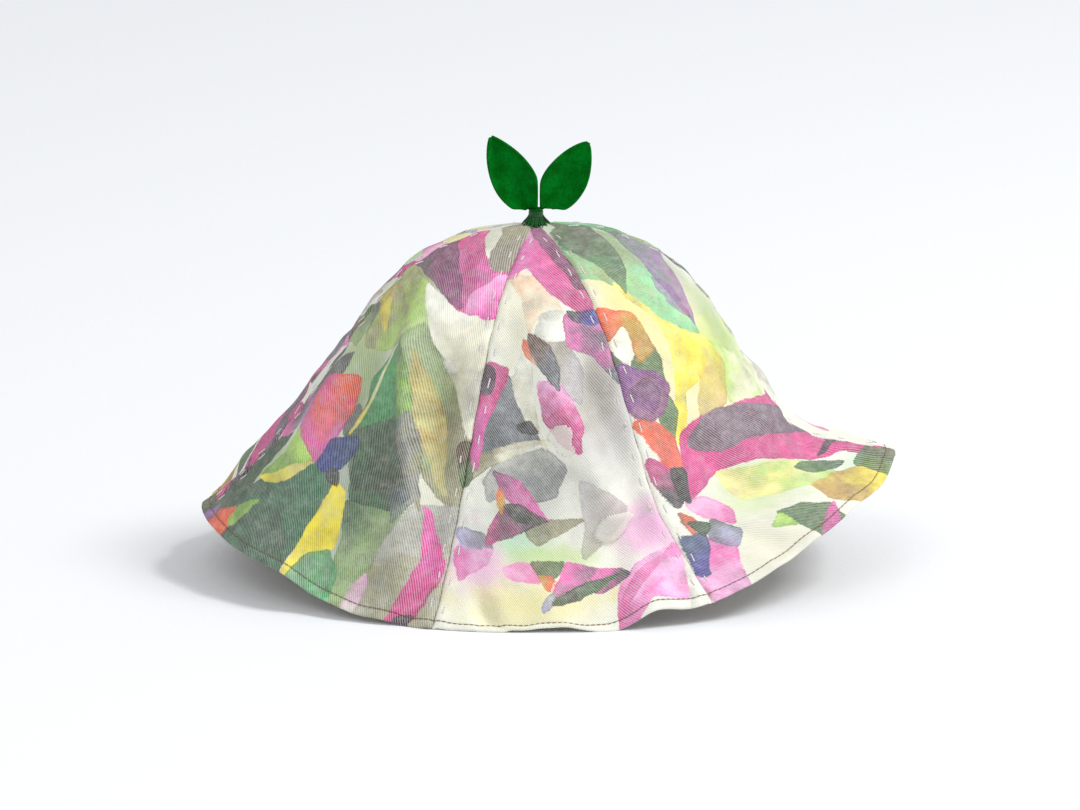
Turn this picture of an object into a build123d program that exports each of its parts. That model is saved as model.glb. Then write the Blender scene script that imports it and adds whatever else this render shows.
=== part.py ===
from build123d import *
import math
import os
import numpy as np

# A child's bell-shaped sun hat: six gores of printed twill run from the apex to the edge of a
# flared brim, with two felt leaves tied on top. It stands on its brim, crown up (+Z), and the
# wearer's face side is -Y. The origin is under the middle of the hat, on the surface that it
# stands on. Lengths are in mm and angles in degrees.

# --- the hat's outer face, as four meridians -------------------------------------------------
# A distance "down" is measured along the cloth from the apex. A slope is measured from level.
slant = 194.0              # apex to brim edge, along the cloth

left_apex_slope = 5.0      # slope of the left meridian at the apex
left_crown_slope = 55.0    # slope down the side of the crown
left_brim_slope = 41.0     # slope along the brim
left_crown_by = 91.0       # distance down at which the crown slope is reached
left_flare_from = 120.0    # distance down at which the brim starts to flare
left_flare_to = 194.0      # distance down at which the brim slope is reached

right_apex_slope = 2.0
right_crown_slope = 59.0
right_brim_slope = 9.0     # the right side of the brim is turned up almost level
right_crown_by = 101.0
right_flare_from = 132.0
right_flare_to = 171.0

front_apex_slope = 14.0    # the front and the back hang alike
front_crown_slope = 73.0
front_brim_slope = 53.0
front_crown_by = 97.0
front_flare_from = 145.0
front_flare_to = 194.0

foot_sag = 3.6             # how far the front and back of the brim would hang below the floor
foot_blend = 2.0           # height over which the brim turns level on the floor
foot_trim = 0.15           # taken off under the facing, so that it stands on a true plane

# --- the seams, as plan angles from the front towards +X, at the apex and at the brim ---------
seam_names = ["front_left", "front_right", "right", "back_right", "back_left", "left"]
seam_apex_angles = [-17.7, 25.5, 92.0, 155.0, 208.0, 276.0]
seam_brim_angles = [-17.7, 28.8, 92.0, 155.0, 208.0, 276.0]
gore_names = ["front", "front_right", "back_right", "back", "back_left", "front_left"]

# --- layers of the cloth, measured inwards from the outer face --------------------------------
cloth_thickness = 0.8
tape_thickness = 0.5       # the pressed seam allowances, as one flat tape behind each seam
facing_thickness = 0.6     # the turned-in hem
thread_height = 0.3        # how far a thread stands off the cloth
sewn_gap = 0.03            # space left between two faces that are sewn together
facing_gap = 0.1           # space left between the cloth and the turned-in hem

apex_opening = 3.2         # distance down at which the gores start, around the leaves' foot
tape_width = 10.0
tape_gap = 1.3             # between neighbouring tapes' upper ends, across the narrowest gore
facing_width = 9.0

# --- stitching ---------------------------------------------------------------------------------
stitch_row_offset = 3.0    # from the seam to each of its two rows
stitch_start = 13.0        # distance down of the first hand stitch
stitch_pitch = 12.0
stitch_length = 4.2
stitch_width = 0.6
hem_stitch_inset = 3.6     # from the brim edge to the topstitching
hem_stitch_width = 0.5

# --- the felt leaves ---------------------------------------------------------------------------
felt_thickness = 1.0
left_leaf_length = 36.6
right_leaf_length = 35.0
leaf_half_width = 9.0      # at the widest
leaf_foot_share = 0.03     # share of the outline cut off at the gathered foot
leaf_tip_share = 0.985     # share of the outline at which the rounded tip ends
leaf_cup = 3.0             # how far the edges stand forward of the middle
leaf_meet = 1.2            # plane, right of the hat's axis, where the two inner edges meet
leaf_foot_offset = 2.5     # from that plane to the middle of each leaf's foot
leaf_gap = 0.4             # between the two inner edges
leaf_roll = 0.8            # softness of the inner edges' roll towards the front
left_leaf_lean = 29.4
right_leaf_lean = 32.0
leaf_clearance = 0.3       # between each leaf's foot and the stem

stem_foot_radius = 4.2     # the leaves' gathered ends, spread on the crown
stem_waist_radius = 2.5
stem_top_radius = 4.0
stem_foot_height = 1.6
stem_top_height = 1.4      # from the binding up to the leaves
stem_lift = 0.05           # foot above the apex
stem_plug_radius = 2.6     # goes down through the apex opening
stem_plug_length = 2.4
binding_turns = 3
binding_thread_radius = 0.45
knot_radius = 3.4
anchor_count = 8           # threads that sew the leaves' foot to the crown
anchor_start = 4.7         # distance down of their inner ends
anchor_length = 4.2
anchor_width = 0.7

# --- worked out from the values above ----------------------------------------------------------
STEPS = 1600
facing_depth = cloth_thickness + facing_gap
floor_depth = facing_depth + facing_thickness
narrowest_gore = math.radians(min(np.diff(seam_apex_angles)))
tape_start = (tape_width + tape_gap) / narrowest_gore
stem_waist_height = binding_turns * 2 * binding_thread_radius + (binding_turns + 1) * sewn_gap
stem_top = stem_lift + stem_foot_height + stem_waist_height + stem_top_height


def ease(t):
    """0 below 0, 1 above 1 and a smooth step between them."""
    t = np.clip(t, 0.0, 1.0)
    return t * t * (3.0 - 2.0 * t)


def meridian(apex_slope, crown_slope, brim_slope, crown_by, flare_from, flare_to):
    """Distance down, radius and drop along one meridian, from its slope at each point."""
    down = np.linspace(0.0, slant, STEPS + 1)
    middle = (down[1:] + down[:-1]) / 2
    slope = apex_slope + (crown_slope - apex_slope) * ease(middle / crown_by)
    slope = slope + (brim_slope - crown_slope) * ease((middle - flare_from) / (flare_to - flare_from))
    slope = np.radians(slope)
    step = slant / STEPS
    radius = np.concatenate([[0.0], np.cumsum(np.cos(slope)) * step])
    drop = np.concatenate([[0.0], np.cumsum(np.sin(slope)) * step])
    return down, radius, drop


LEFT = meridian(left_apex_slope, left_crown_slope, left_brim_slope,
                left_crown_by, left_flare_from, left_flare_to)
RIGHT = meridian(right_apex_slope, right_crown_slope, right_brim_slope,
                 right_crown_by, right_flare_from, right_flare_to)
FRONT = meridian(front_apex_slope, front_crown_slope, front_brim_slope,
                 front_crown_by, front_flare_from, front_flare_to)

apex_x = (LEFT[1][-1] - RIGHT[1][-1]) / 2
level_drop = FRONT[2][-1] - foot_sag
apex_z = level_drop + floor_depth - foot_trim


def settle(drop):
    """The drop of cloth that meets the floor: it turns level within foot_blend of level_drop."""
    past = np.clip(drop - level_drop + foot_blend, 0.0, 2 * foot_blend)
    return np.minimum(drop, level_drop + foot_blend) - past ** 2 / (4 * foot_blend)


def outer_face(down, angle):
    """Points on the hat's outer face, for distances down and plan angles in radians."""
    sine = np.sin(angle)
    cosine = np.cos(angle)
    side_radius = np.where(sine > 0, np.interp(down, RIGHT[0], RIGHT[1]), np.interp(down, LEFT[0], LEFT[1]))
    side_drop = np.where(sine > 0, np.interp(down, RIGHT[0], RIGHT[2]), np.interp(down, LEFT[0], LEFT[2]))
    front_radius = np.interp(down, FRONT[0], FRONT[1])
    front_drop = np.interp(down, FRONT[0], FRONT[2])
    x = apex_x + side_radius * sine
    y = -front_radius * cosine
    z = apex_z - settle(side_drop * sine ** 2 + front_drop * cosine ** 2)
    return np.stack([x, y, z], axis=-1)


def layer(down, angle, depth):
    """The outer face moved inwards by depth along its normal."""
    small_down = 0.4
    small_angle = 0.004
    low = np.maximum(down - small_down, 0.05)
    high = np.minimum(down + small_down, slant)
    along = outer_face(high, angle) - outer_face(low, angle)
    around = outer_face(down, angle + small_angle) - outer_face(down, angle - small_angle)
    normal = np.cross(around, along)
    normal = -normal / np.linalg.norm(normal, axis=-1, keepdims=True)
    normal = normal * np.sign(normal[..., 2:3])
    return outer_face(down, angle) - depth * normal


def turn_for(down, angle, distance):
    """The plan angle that spans a distance measured around the cloth."""
    small = 0.004
    span = outer_face(down, angle + small) - outer_face(down, angle - small)
    return distance * 2 * small / np.linalg.norm(span, axis=-1)


def seam_angle(index, down):
    """The plan angle of a seam at a distance down, in radians, counted on past a full turn."""
    turns, place = divmod(index, len(seam_names))
    share = ease(down / slant)
    angle = seam_apex_angles[place] * (1 - share) + seam_brim_angles[place] * share
    return np.radians(angle + 360.0 * turns)


def skin(points):
    """One smooth face through a grid of points."""
    return Face.make_surface_from_array_of_points([[Vector(*p) for p in row] for row in points])


def sheet_solid(front_points, back_points):
    """A closed sheet between two grids of points that match each other."""
    front = skin(front_points)
    back = skin(back_points)
    faces = [front, back]
    for edge in front.edges():
        middle = edge @ 0.5
        partner = min(back.edges(), key=lambda other: (other @ 0.5 - middle).length)
        faces.append(Face.make_surface_from_curves(edge, partner))
    return Solid(Shell(faces))


def even_angles(down, first, last, columns):
    """Plan angles from first to last, spaced evenly around the cloth at one distance down."""
    fine = np.linspace(first, last, 12 * columns)
    steps = np.diff(outer_face(np.full_like(fine, down), fine), axis=0)
    around = np.concatenate([[0.0], np.cumsum(np.linalg.norm(steps, axis=-1))])
    return np.interp(np.linspace(0.0, around[-1], columns), around, fine)


def cloth_piece(down, first_side, last_side, columns, top, bottom):
    """A piece of cloth between two side lines, each given as plan angles at the distances down."""
    distances = np.repeat(down[:, None], columns, axis=1)
    angles = np.array([even_angles(*row, columns) for row in zip(down, first_side, last_side)])
    return sheet_solid(layer(distances, angles, top), layer(distances, angles, bottom))


def down_rows(start, end, count):
    """Distances down from start to end, four times closer together near the brim edge."""
    share = np.linspace(0.0, 1.0, count)
    return start + (end - start) * (1.6 * share - 0.6 * share ** 2)


def gore(index):
    """The gore between the seam before it and the seam after it, from the apex to the brim edge."""
    down = down_rows(apex_opening, slant, 1 + round(slant / 3.5))
    first = seam_angle(index, down)
    last = seam_angle(index + 1, down)
    first = first + turn_for(down, first, sewn_gap / 2)
    last = last - turn_for(down, last, sewn_gap / 2)
    return cloth_piece(down, first, last, 20, 0.0, cloth_thickness)


def seam_tape(index):
    """The flattened seam allowances behind one seam."""
    down = down_rows(tape_start, slant - facing_width - sewn_gap, 40)
    middle = seam_angle(index, down)
    half = turn_for(down, middle, tape_width / 2)
    depth = cloth_thickness + sewn_gap
    return cloth_piece(down, middle - half, middle + half, 6, depth, depth + tape_thickness)


def seam_stitches(index):
    """Two rows of hand running stitches, one on each side of a seam."""
    last = slant - hem_stitch_inset - stitch_length - hem_stitch_width
    stitches = []
    for side in (-1, 1):
        for start in np.arange(stitch_start, last, stitch_pitch):
            down = np.linspace(start, start + stitch_length, 4)
            seam = seam_angle(index, down)
            middle = seam + side * turn_for(down, seam, stitch_row_offset)
            half = turn_for(down, middle, stitch_width / 2)
            stitches.append(cloth_piece(down, middle - half, middle + half, 3,
                                        -sewn_gap - thread_height, -sewn_gap))
    return Compound(children=stitches)


def ring_piece(down_start, down_end, rows, top, bottom):
    """A band all the way around the hat, whose ends meet at the back seam on the right."""
    down = np.linspace(down_start, down_end, rows)
    start = seam_angle(3, down) - 2 * math.pi
    end = seam_angle(3, down)
    half_gap = turn_for(down, end, sewn_gap / 2)
    return cloth_piece(down, start + half_gap, end - half_gap, 161, top, bottom)


def hem_facing():
    """The hem turned in behind the brim edge, cut flat where the hat stands on it."""
    band = ring_piece(slant - facing_width, slant, 14, facing_depth, floor_depth)
    room = 2 * slant
    below_floor = Pos(0, 0, -room / 2) * Box(2 * room, 2 * room, room)
    return band - below_floor


def hem_topstitch():
    """The line of topstitching that holds the hem, on the outer face."""
    middle = slant - hem_stitch_inset
    return ring_piece(middle - hem_stitch_width / 2, middle + hem_stitch_width / 2, 3,
                      -sewn_gap - thread_height, -sewn_gap)


def leaf(side, length, lean_degrees):
    """One felt leaf: a pointed oval on a level foot, cupped forward and rolled at its inner edge."""
    lean = math.radians(lean_degrees)
    share = np.linspace(leaf_foot_share, leaf_tip_share, 26)[:, None]
    across = np.linspace(-1.0, 1.0, 13)[None, :]
    outline = share ** 0.6 * (1 - share) ** 0.85
    widest = 0.6 / (0.6 + 0.85)
    half_width = leaf_half_width * outline / (widest ** 0.6 * (1 - widest) ** 0.85)
    outward = leaf_foot_offset + length * share * math.sin(lean) + across * half_width * math.cos(lean)
    up = length * (share - leaf_foot_share) * math.cos(lean)
    up = up - across * half_width * math.sin(lean) * ease(share / 0.3)
    over = leaf_gap / 2 + felt_thickness / 2 - outward
    rolled = (over + np.sqrt(over ** 2 + leaf_roll ** 2)) / 2
    x = apex_x + leaf_meet + side * (outward + rolled)
    y = -leaf_cup * across ** 2 * half_width / leaf_half_width - rolled
    z = apex_z + stem_top + leaf_clearance + up
    middle = np.stack([x, y, z], axis=-1)
    normal = np.cross(np.gradient(middle, axis=0), np.gradient(middle, axis=1))
    normal = normal / np.linalg.norm(normal, axis=-1, keepdims=True)
    return sheet_solid(middle - normal * felt_thickness / 2, middle + normal * felt_thickness / 2)


def leaf_stem():
    """The leaves' gathered ends: a foot on the crown, a waist under the binding and a flared top."""
    foot = stem_lift
    waist = foot + stem_foot_height
    profile = [(0, -stem_plug_length), (stem_plug_radius, -stem_plug_length),
               (stem_plug_radius, foot), (stem_foot_radius, foot), (stem_waist_radius, waist),
               (stem_waist_radius, waist + stem_waist_height), (stem_top_radius, stem_top),
               (0, stem_top)]
    outline = Polyline(*[(r, 0, z) for r, z in profile], close=True)
    return Pos(apex_x, 0, apex_z) * revolve(make_face(outline), Axis.Z)


def leaf_binding():
    """Turns of thread around the stem's waist."""
    ring_radius = stem_waist_radius + sewn_gap + binding_thread_radius
    first = stem_lift + stem_foot_height + sewn_gap + binding_thread_radius
    step = 2 * binding_thread_radius + sewn_gap
    turns = [Pos(apex_x, 0, apex_z + first + turn * step) * Torus(ring_radius, binding_thread_radius)
             for turn in range(binding_turns)]
    return Compound(children=turns)


def apex_knot():
    """The threads' ends, knotted inside the hat under the stem's plug."""
    top = -stem_plug_length - sewn_gap
    sunk = math.sqrt(knot_radius ** 2 - stem_plug_radius ** 2)
    above_top = Pos(0, 0, sunk + knot_radius) * Box(4 * knot_radius, 4 * knot_radius, 2 * knot_radius)
    return Pos(apex_x, 0, apex_z + top - sunk) * (Sphere(knot_radius) - above_top)


def anchor_stitches():
    """Threads that hold the leaves' foot to the crown, fanned out around it."""
    down = np.linspace(anchor_start, anchor_start + anchor_length, 4)
    threads = []
    for index in range(anchor_count):
        middle = np.full_like(down, 2 * math.pi * (index + 0.5) / anchor_count)
        half = turn_for(down, middle, anchor_width / 2)
        threads.append(cloth_piece(down, middle - half, middle + half, 3,
                                   -sewn_gap - thread_height, -sewn_gap))
    return Compound(children=threads)


os.makedirs("parts", exist_ok=True)
for number, name in enumerate(gore_names):
    export_step(gore(number), f"parts/gore_{name}.step")
for number, name in enumerate(seam_names):
    export_step(seam_tape(number), f"parts/seam_tape_{name}.step")
    export_step(seam_stitches(number), f"parts/seam_stitches_{name}.step")
export_step(hem_facing(), "parts/hem_facing.step")
export_step(hem_topstitch(), "parts/hem_topstitch.step")
export_step(leaf_stem(), "parts/leaf_stem.step")
export_step(leaf_binding(), "parts/leaf_binding.step")
export_step(apex_knot(), "parts/apex_knot.step")
export_step(anchor_stitches(), "parts/anchor_stitches.step")
export_step(leaf(-1, left_leaf_length, left_leaf_lean), "parts/leaf_left.step")
export_step(leaf(1, right_leaf_length, right_leaf_lean), "parts/leaf_right.step")
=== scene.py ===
# %% [markdown]
# # A child's bell-shaped sun hat
# The real hat is six gores of printed cotton twill, sewn together from the apex to the edge of the
# brim. Its seams are pressed open and caught down by two rows of white running stitches, and two
# felt leaves are tied on top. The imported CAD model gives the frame: the pieces below lie where its
# nodes lie, and add the cloth's folds, the print, the weave and the single threads.

# %% Load the frame
import math

import bpy
import numpy as np
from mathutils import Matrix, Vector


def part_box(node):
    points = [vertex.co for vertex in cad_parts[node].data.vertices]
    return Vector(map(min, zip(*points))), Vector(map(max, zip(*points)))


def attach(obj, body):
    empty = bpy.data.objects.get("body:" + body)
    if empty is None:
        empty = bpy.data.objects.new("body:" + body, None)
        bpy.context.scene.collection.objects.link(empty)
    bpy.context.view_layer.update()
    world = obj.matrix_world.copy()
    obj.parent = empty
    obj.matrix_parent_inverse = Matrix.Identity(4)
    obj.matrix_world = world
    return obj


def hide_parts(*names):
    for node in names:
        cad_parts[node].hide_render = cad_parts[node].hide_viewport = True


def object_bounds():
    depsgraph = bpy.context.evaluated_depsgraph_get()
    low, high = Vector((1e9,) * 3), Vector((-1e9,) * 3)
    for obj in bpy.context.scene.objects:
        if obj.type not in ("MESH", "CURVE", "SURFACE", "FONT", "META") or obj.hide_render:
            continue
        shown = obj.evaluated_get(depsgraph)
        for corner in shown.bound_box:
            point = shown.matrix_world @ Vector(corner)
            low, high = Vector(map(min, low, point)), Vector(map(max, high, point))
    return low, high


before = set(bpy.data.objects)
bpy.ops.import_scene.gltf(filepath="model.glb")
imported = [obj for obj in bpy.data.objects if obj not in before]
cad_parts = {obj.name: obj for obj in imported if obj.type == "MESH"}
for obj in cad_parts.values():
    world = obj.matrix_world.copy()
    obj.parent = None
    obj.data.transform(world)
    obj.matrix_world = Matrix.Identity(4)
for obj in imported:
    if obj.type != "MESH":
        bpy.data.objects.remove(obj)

cad_box = [list(corner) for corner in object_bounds()]
MM = 0.001
rng = np.random.default_rng(11)
print("CAD box in mm:", [[round(v / MM, 1) for v in corner] for corner in cad_box])

# %% [markdown]
# The camera looks along +Y and 15 degrees down. It stands far away behind a long lens, so that the
# near and the far edge of the brim come out at nearly the same scale. It is set first, so that
# every later piece can be judged in the same view.

# %% Camera
view_elevation = math.radians(15)
view_width = 453.6 * MM       # seen at the hat's distance
view_right = 1.7 * MM         # where the view is centred: right of the apex and below it
view_below = 76 * MM
camera_distance = 4.0
apex = np.array([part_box("leaf_stem")[0][0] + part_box("leaf_stem")[1][0], 0.0, 0.0]) / 2
apex[2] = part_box("gore_front")[1][2]
view_up = np.array([0.0, math.sin(view_elevation), math.cos(view_elevation)])
view_back = np.array([0.0, -math.cos(view_elevation), math.sin(view_elevation)])
target = apex + np.array([view_right, 0.0, 0.0]) - view_below * view_up
camera_data = bpy.data.cameras.new("camera")
camera = bpy.data.objects.new("camera", camera_data)
bpy.context.collection.objects.link(camera)
camera_data.sensor_width = 36.0
camera_data.lens = camera_data.sensor_width * camera_distance / view_width
camera.location = target + camera_distance * view_back
camera.rotation_euler = (math.pi / 2 - view_elevation, 0.0, 0.0)
camera_data.clip_end = 60.0
bpy.context.scene.camera = camera
print("lens in mm:", round(camera_data.lens, 1))

# %% [markdown]
# Shader maths reads best as arithmetic. `Wire` wraps one output socket, and each operator adds a
# Math node; `Nodes.add` makes any other node from its type, its settings and its inputs.

# %% Node arithmetic


class Wire:
    """A number on a socket. Arithmetic on it adds Math nodes."""

    def __init__(self, nodes, socket):
        self.nodes = nodes
        self.socket = socket

    def math(self, operation, *values, clamp=False):
        settings = {"operation": operation, "use_clamp": clamp}
        return self.nodes.add("ShaderNodeMath", settings, dict(enumerate(values)))

    def __add__(self, other):
        return self.math("ADD", self, other)

    def __sub__(self, other):
        return self.math("SUBTRACT", self, other)

    def __rsub__(self, other):
        return self.math("SUBTRACT", other, self)

    def __mul__(self, other):
        return self.math("MULTIPLY", self, other)

    __radd__ = __add__
    __rmul__ = __mul__

    def clamp(self):
        return self.math("ADD", self, 0.0, clamp=True)

    def sin(self):
        return self.math("SINE", self)

    def absolute(self):
        return self.math("ABSOLUTE", self)

    def fraction(self):
        return self.math("FRACT", self)


class Nodes:
    """The node tree of one material."""

    def __init__(self, name):
        self.material = bpy.data.materials.new(name)
        self.material.use_nodes = True
        self.tree = self.material.node_tree
        self.shader = self.tree.nodes["Principled BSDF"]

    def add(self, kind, settings=None, inputs=None, output=0):
        """One node: its settings first, then the values or wires of its sockets."""
        node = self.tree.nodes.new(kind)
        for key, value in (settings or {}).items():
            setattr(node, key, value)
        for key, value in (inputs or {}).items():
            self.join(value, node.inputs[key])
        return Wire(self, node.outputs[output])

    def join(self, value, socket):
        if isinstance(value, Wire):
            self.tree.links.new(value.socket, socket)
        else:
            socket.default_value = value

    def attribute(self, name, output="Fac"):
        return self.add("ShaderNodeAttribute", {"attribute_name": name}, output=output)

    def place(self):
        return self.add("ShaderNodeTexCoord", output="Object")

    def split(self, vector):
        node = self.tree.nodes.new("ShaderNodeSeparateXYZ")
        self.join(vector, node.inputs[0])
        return [Wire(self, node.outputs[axis]) for axis in range(3)]

    def vector(self, x, y, z):
        return self.add("ShaderNodeCombineXYZ", None, {0: x, 1: y, 2: z})

    def noise(self, vector, scale, detail, roughness=0.5):
        values = {"Vector": vector, "Scale": scale, "Detail": detail, "Roughness": roughness}
        return self.add("ShaderNodeTexNoise", None, values)

    def mix(self, factor, first, second, blend="MIX"):
        """Two colours, mixed."""
        settings = {"data_type": "RGBA", "blend_type": blend}
        return self.add("ShaderNodeMix", settings, {0: factor, 6: first, 7: second}, output=2)

    def bump(self, height, distance):
        return self.add("ShaderNodeBump", None, {"Height": height, "Distance": distance})

    def set(self, **values):
        """Constants and wires on the shader's own sockets, by name with spaces as underscores."""
        for key, value in values.items():
            self.join(value, self.shader.inputs[key.replace("_", " ")])


def linear(red, green, blue):
    """A colour as the eye reads it, from 0 to 1, turned into light, with full alpha."""
    light = [c / 12.92 if c <= 0.04045 else ((c + 0.055) / 1.055) ** 2.4 for c in (red, green, blue)]
    return (*light, 1.0)


# %% [markdown]
# Every piece is a surface worked out on a grid. `mesh_object` turns arrays into an object, and
# `grid_faces` numbers the quads of a grid, so the rest of the script only works out points.

# %% Meshes from arrays


def mesh_object(name, points, *faces):
    """An object at the origin, smooth to the light, from points in mm and arrays of faces."""
    mesh = bpy.data.meshes.new(name)
    mesh.from_pydata((points * MM).tolist(), [], sum((group.tolist() for group in faces), []))
    mesh.update()
    mesh.shade_smooth()
    piece = bpy.data.objects.new(name, mesh)
    bpy.context.collection.objects.link(piece)
    return piece


def grid_faces(rows, columns, first=0, loop_rows=False, loop_columns=False):
    """Quads between the points of a grid, which are numbered along each row."""
    row = np.arange(rows if loop_rows else rows - 1)[:, None]
    column = np.arange(columns if loop_columns else columns - 1)[None, :]
    below = (row + 1) % rows
    beside = (column + 1) % columns
    corners = [row * columns + column, row * columns + beside,
               below * columns + beside, below * columns + column]
    corners = [np.broadcast_to(c, (row.size, column.size)) for c in corners]
    return np.stack(corners, axis=-1).reshape(-1, 4) + first


def put_attribute(piece, name, values, kind="FLOAT"):
    """A value at each vertex: FLOAT, FLOAT_VECTOR or FLOAT_COLOR."""
    layer = piece.data.attributes.new(name, kind, "POINT")
    field = {"FLOAT": "value", "FLOAT_VECTOR": "vector", "FLOAT_COLOR": "color"}[kind]
    layer.data.foreach_set(field, np.ascontiguousarray(values, dtype=np.float32).ravel())


def unit(vectors):
    return vectors / np.maximum(np.linalg.norm(vectors, axis=-1, keepdims=True), 1e-12)


def ease(t):
    """0 below 0, 1 above 1 and a smooth step between them."""
    t = np.clip(t, 0.0, 1.0)
    return t * t * (3.0 - 2.0 * t)


# %% [markdown]
# The hat's shape is four meridians, left, right, front and back, and an oval between them. Each
# meridian is given by its slope, because cloth does not stretch: adding up steps of equal length
# at the changing slope keeps every line from the apex to the edge as long as the real cloth.

# %% The hat's outer face
slant = 194.0
# Slopes in degrees at the apex, in the crown and in the brim. Then distances in mm down from the
# apex: where the crown's slope is reached, where the flare starts and where it ends.
SLOPES = {
    "left": (5.0, 55.0, 41.0, 91.0, 120.0, slant),
    "right": (2.0, 59.0, 9.0, 101.0, 132.0, 171.0),
    "front": (14.0, 73.0, 53.0, 97.0, 145.0, slant),
}
cloth_thickness = 0.8
facing_depth = 0.9
facing_thickness = 0.6
foot_sag = 3.6
foot_blend = 2.0
hem_press = 0.15              # how far the hem is pressed together where it stands on the floor
seam_apex_angles = [-17.7, 25.5, 92.0, 155.0, 208.0, 276.0]
seam_brim_angles = [-17.7, 28.8, 92.0, 155.0, 208.0, 276.0]
seam_names = ["front_left", "front_right", "right", "back_right", "back_left", "left"]
gore_names = ["front", "front_right", "back_right", "back", "back_left", "front_left"]
apex_x = apex[0] / MM


def meridian(apex_slope, crown_slope, brim_slope, crown_by, flare_from, flare_to, steps=1600):
    """Radius and drop at each distance down: the running sums of cosine and sine of the slope."""
    down = np.linspace(0.0, slant, steps + 1)
    middle = (down[1:] + down[:-1]) / 2
    slope = apex_slope + (crown_slope - apex_slope) * ease(middle / crown_by)
    slope = slope + (brim_slope - crown_slope) * ease((middle - flare_from) / (flare_to - flare_from))
    turns = np.radians(slope)
    radius = np.concatenate([[0.0], np.cumsum(np.cos(turns))]) * slant / steps
    drop = np.concatenate([[0.0], np.cumsum(np.sin(turns))]) * slant / steps
    return down, radius, drop


LINES = {side: meridian(*values) for side, values in SLOPES.items()}
level_drop = LINES["front"][2][-1] - foot_sag
apex_z = level_drop + facing_depth + facing_thickness - hem_press


def settle(drop):
    """The drop of cloth that meets the floor: it turns level within foot_blend of level_drop."""
    past = np.clip(drop - level_drop + foot_blend, 0.0, 2 * foot_blend)
    return np.minimum(drop, level_drop + foot_blend) - past ** 2 / (4 * foot_blend)


def outer_face(down, angle):
    """x and y go around an oval whose radii are the meridians'; the drop blends with sine squared."""
    sine, cosine = np.sin(angle), np.cos(angle)
    radius = {side: np.interp(down, line[0], line[1]) for side, line in LINES.items()}
    drop = {side: np.interp(down, line[0], line[2]) for side, line in LINES.items()}
    x = apex_x + np.where(sine > 0, radius["right"], radius["left"]) * sine
    side_drop = np.where(sine > 0, drop["right"], drop["left"])
    z = apex_z - settle(side_drop * sine ** 2 + drop["front"] * cosine ** 2)
    return np.stack([x, -radius["front"] * cosine, z], axis=-1)


def seam_angle(index, down):
    """A seam's plan angle in radians, counted on past a full turn."""
    turns, place = divmod(index, len(seam_names))
    share = ease(down / slant)
    angle = seam_apex_angles[place] * (1 - share) + seam_brim_angles[place] * share
    return np.radians(angle + 360.0 * turns)


print("apex in mm:", round(apex_x, 1), round(apex_z, 1), "CAD apex:", round(apex[2] / MM, 1))

# %% [markdown]
# Cloth that lies still is never quite smooth. Here the relief is worked out on each gore in cloth
# millimetres: p across from the gore's middle line and q down from the apex. Long soft folds are
# ridges along a line, the seams are narrow valleys between two shoulders, every hand stitch pulls
# a small dent, and a few slow waves keep the rest from looking like moulded plastic.

# %% Folds, seams and dents
row_pitch = 1.1
gore_columns = 125
apex_opening = 3.2
stitch_row_offset = 3.0
stitch_start = 13.0
stitch_pitch = 12.0
hem_stitch_inset = 3.6
hem_pitch = 2.3
fold_gain = 2.1
wave_height = 0.9
lift_from = 140.0
calm_beside_seam = 14.0       # folds grow from nothing over this much cloth beside a seam
calm_at_apex = 12.0
pucker_pitch = 17.0

FOLDS = {                    # start (p, q), end (p, q), height, width; all in mm
    "front_left": [((0, 78), (22, 122), 3.4, 6.0), ((20, 118), (44, 178), 2.8, 7.5),
                   ((22, 84), (38, 128), -2.6, 6.5), ((-16, 70), (-14, 120), -2.2, 8.0),
                   ((-32, 104), (-30, 150), 1.6, 8.0), ((4, 150), (16, 192), -1.6, 9.0),
                   ((52, 150), (60, 192), -1.4, 8.0)],
    "front": [((-6, 62), (6, 106), 1.8, 7.0), ((4, 100), (26, 150), 2.2, 7.5),
              ((14, 88), (40, 138), -1.8, 8.0), ((-12, 96), (-10, 128), -1.3, 8.0),
              ((20, 160), (44, 146), -2.4, 8.0), ((-36, 184), (-34, 196), -2.2, 5.0),
              ((-12, 172), (-4, 196), 1.4, 10.0), ((30, 178), (34, 196), 1.2, 8.0)],
    "front_right": [((-26, 120), (-10, 150), -1.6, 8.0), ((18, 132), (40, 140), 1.8, 7.0),
                    ((-30, 176), (-26, 196), -1.4, 7.0), ((4, 158), (10, 196), 1.6, 12.0),
                    ((42, 164), (52, 194), 1.8, 8.0)],
    "back_right": [((-30, 120), (-26, 190), 1.8, 10.0), ((10, 90), (22, 170), -2.0, 9.0),
                   ((34, 150), (40, 194), 1.6, 9.0)],
    "back": [((-14, 84), (-20, 150), 2.0, 8.0), ((16, 96), (22, 176), -1.8, 9.0),
             ((-40, 170), (-40, 194), -1.8, 7.0), ((40, 174), (44, 194), 1.4, 8.0)],
    "back_left": [((-20, 90), (-30, 168), -2.0, 9.0), ((12, 100), (26, 182), 1.8, 9.0),
                  ((44, 160), (46, 194), -1.4, 8.0)],
}
LIFTS = {                    # middle p, half width and height of each place where the hem lifts; in mm
    "front_left": [(-6, 16, 2.0), (34, 12, -1.5)],
    "front": [(-34, 8, 2.2), (36, 13, 4.5)],
    "front_right": [(-20, 16, 2.5), (30, 14, -1.5)],
    "back": [(-20, 14, 3.0), (30, 14, 2.5)],
}


def hem_lift(name, p, q):
    """How far the cloth near the hem stands up from its plain shape."""
    rise = ease((q - lift_from) / (slant - lift_from))
    return rise * sum((h * np.exp(-((p - p0) / w) ** 2) for p0, w, h in LIFTS.get(name, [])), 0.0 * p)


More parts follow.
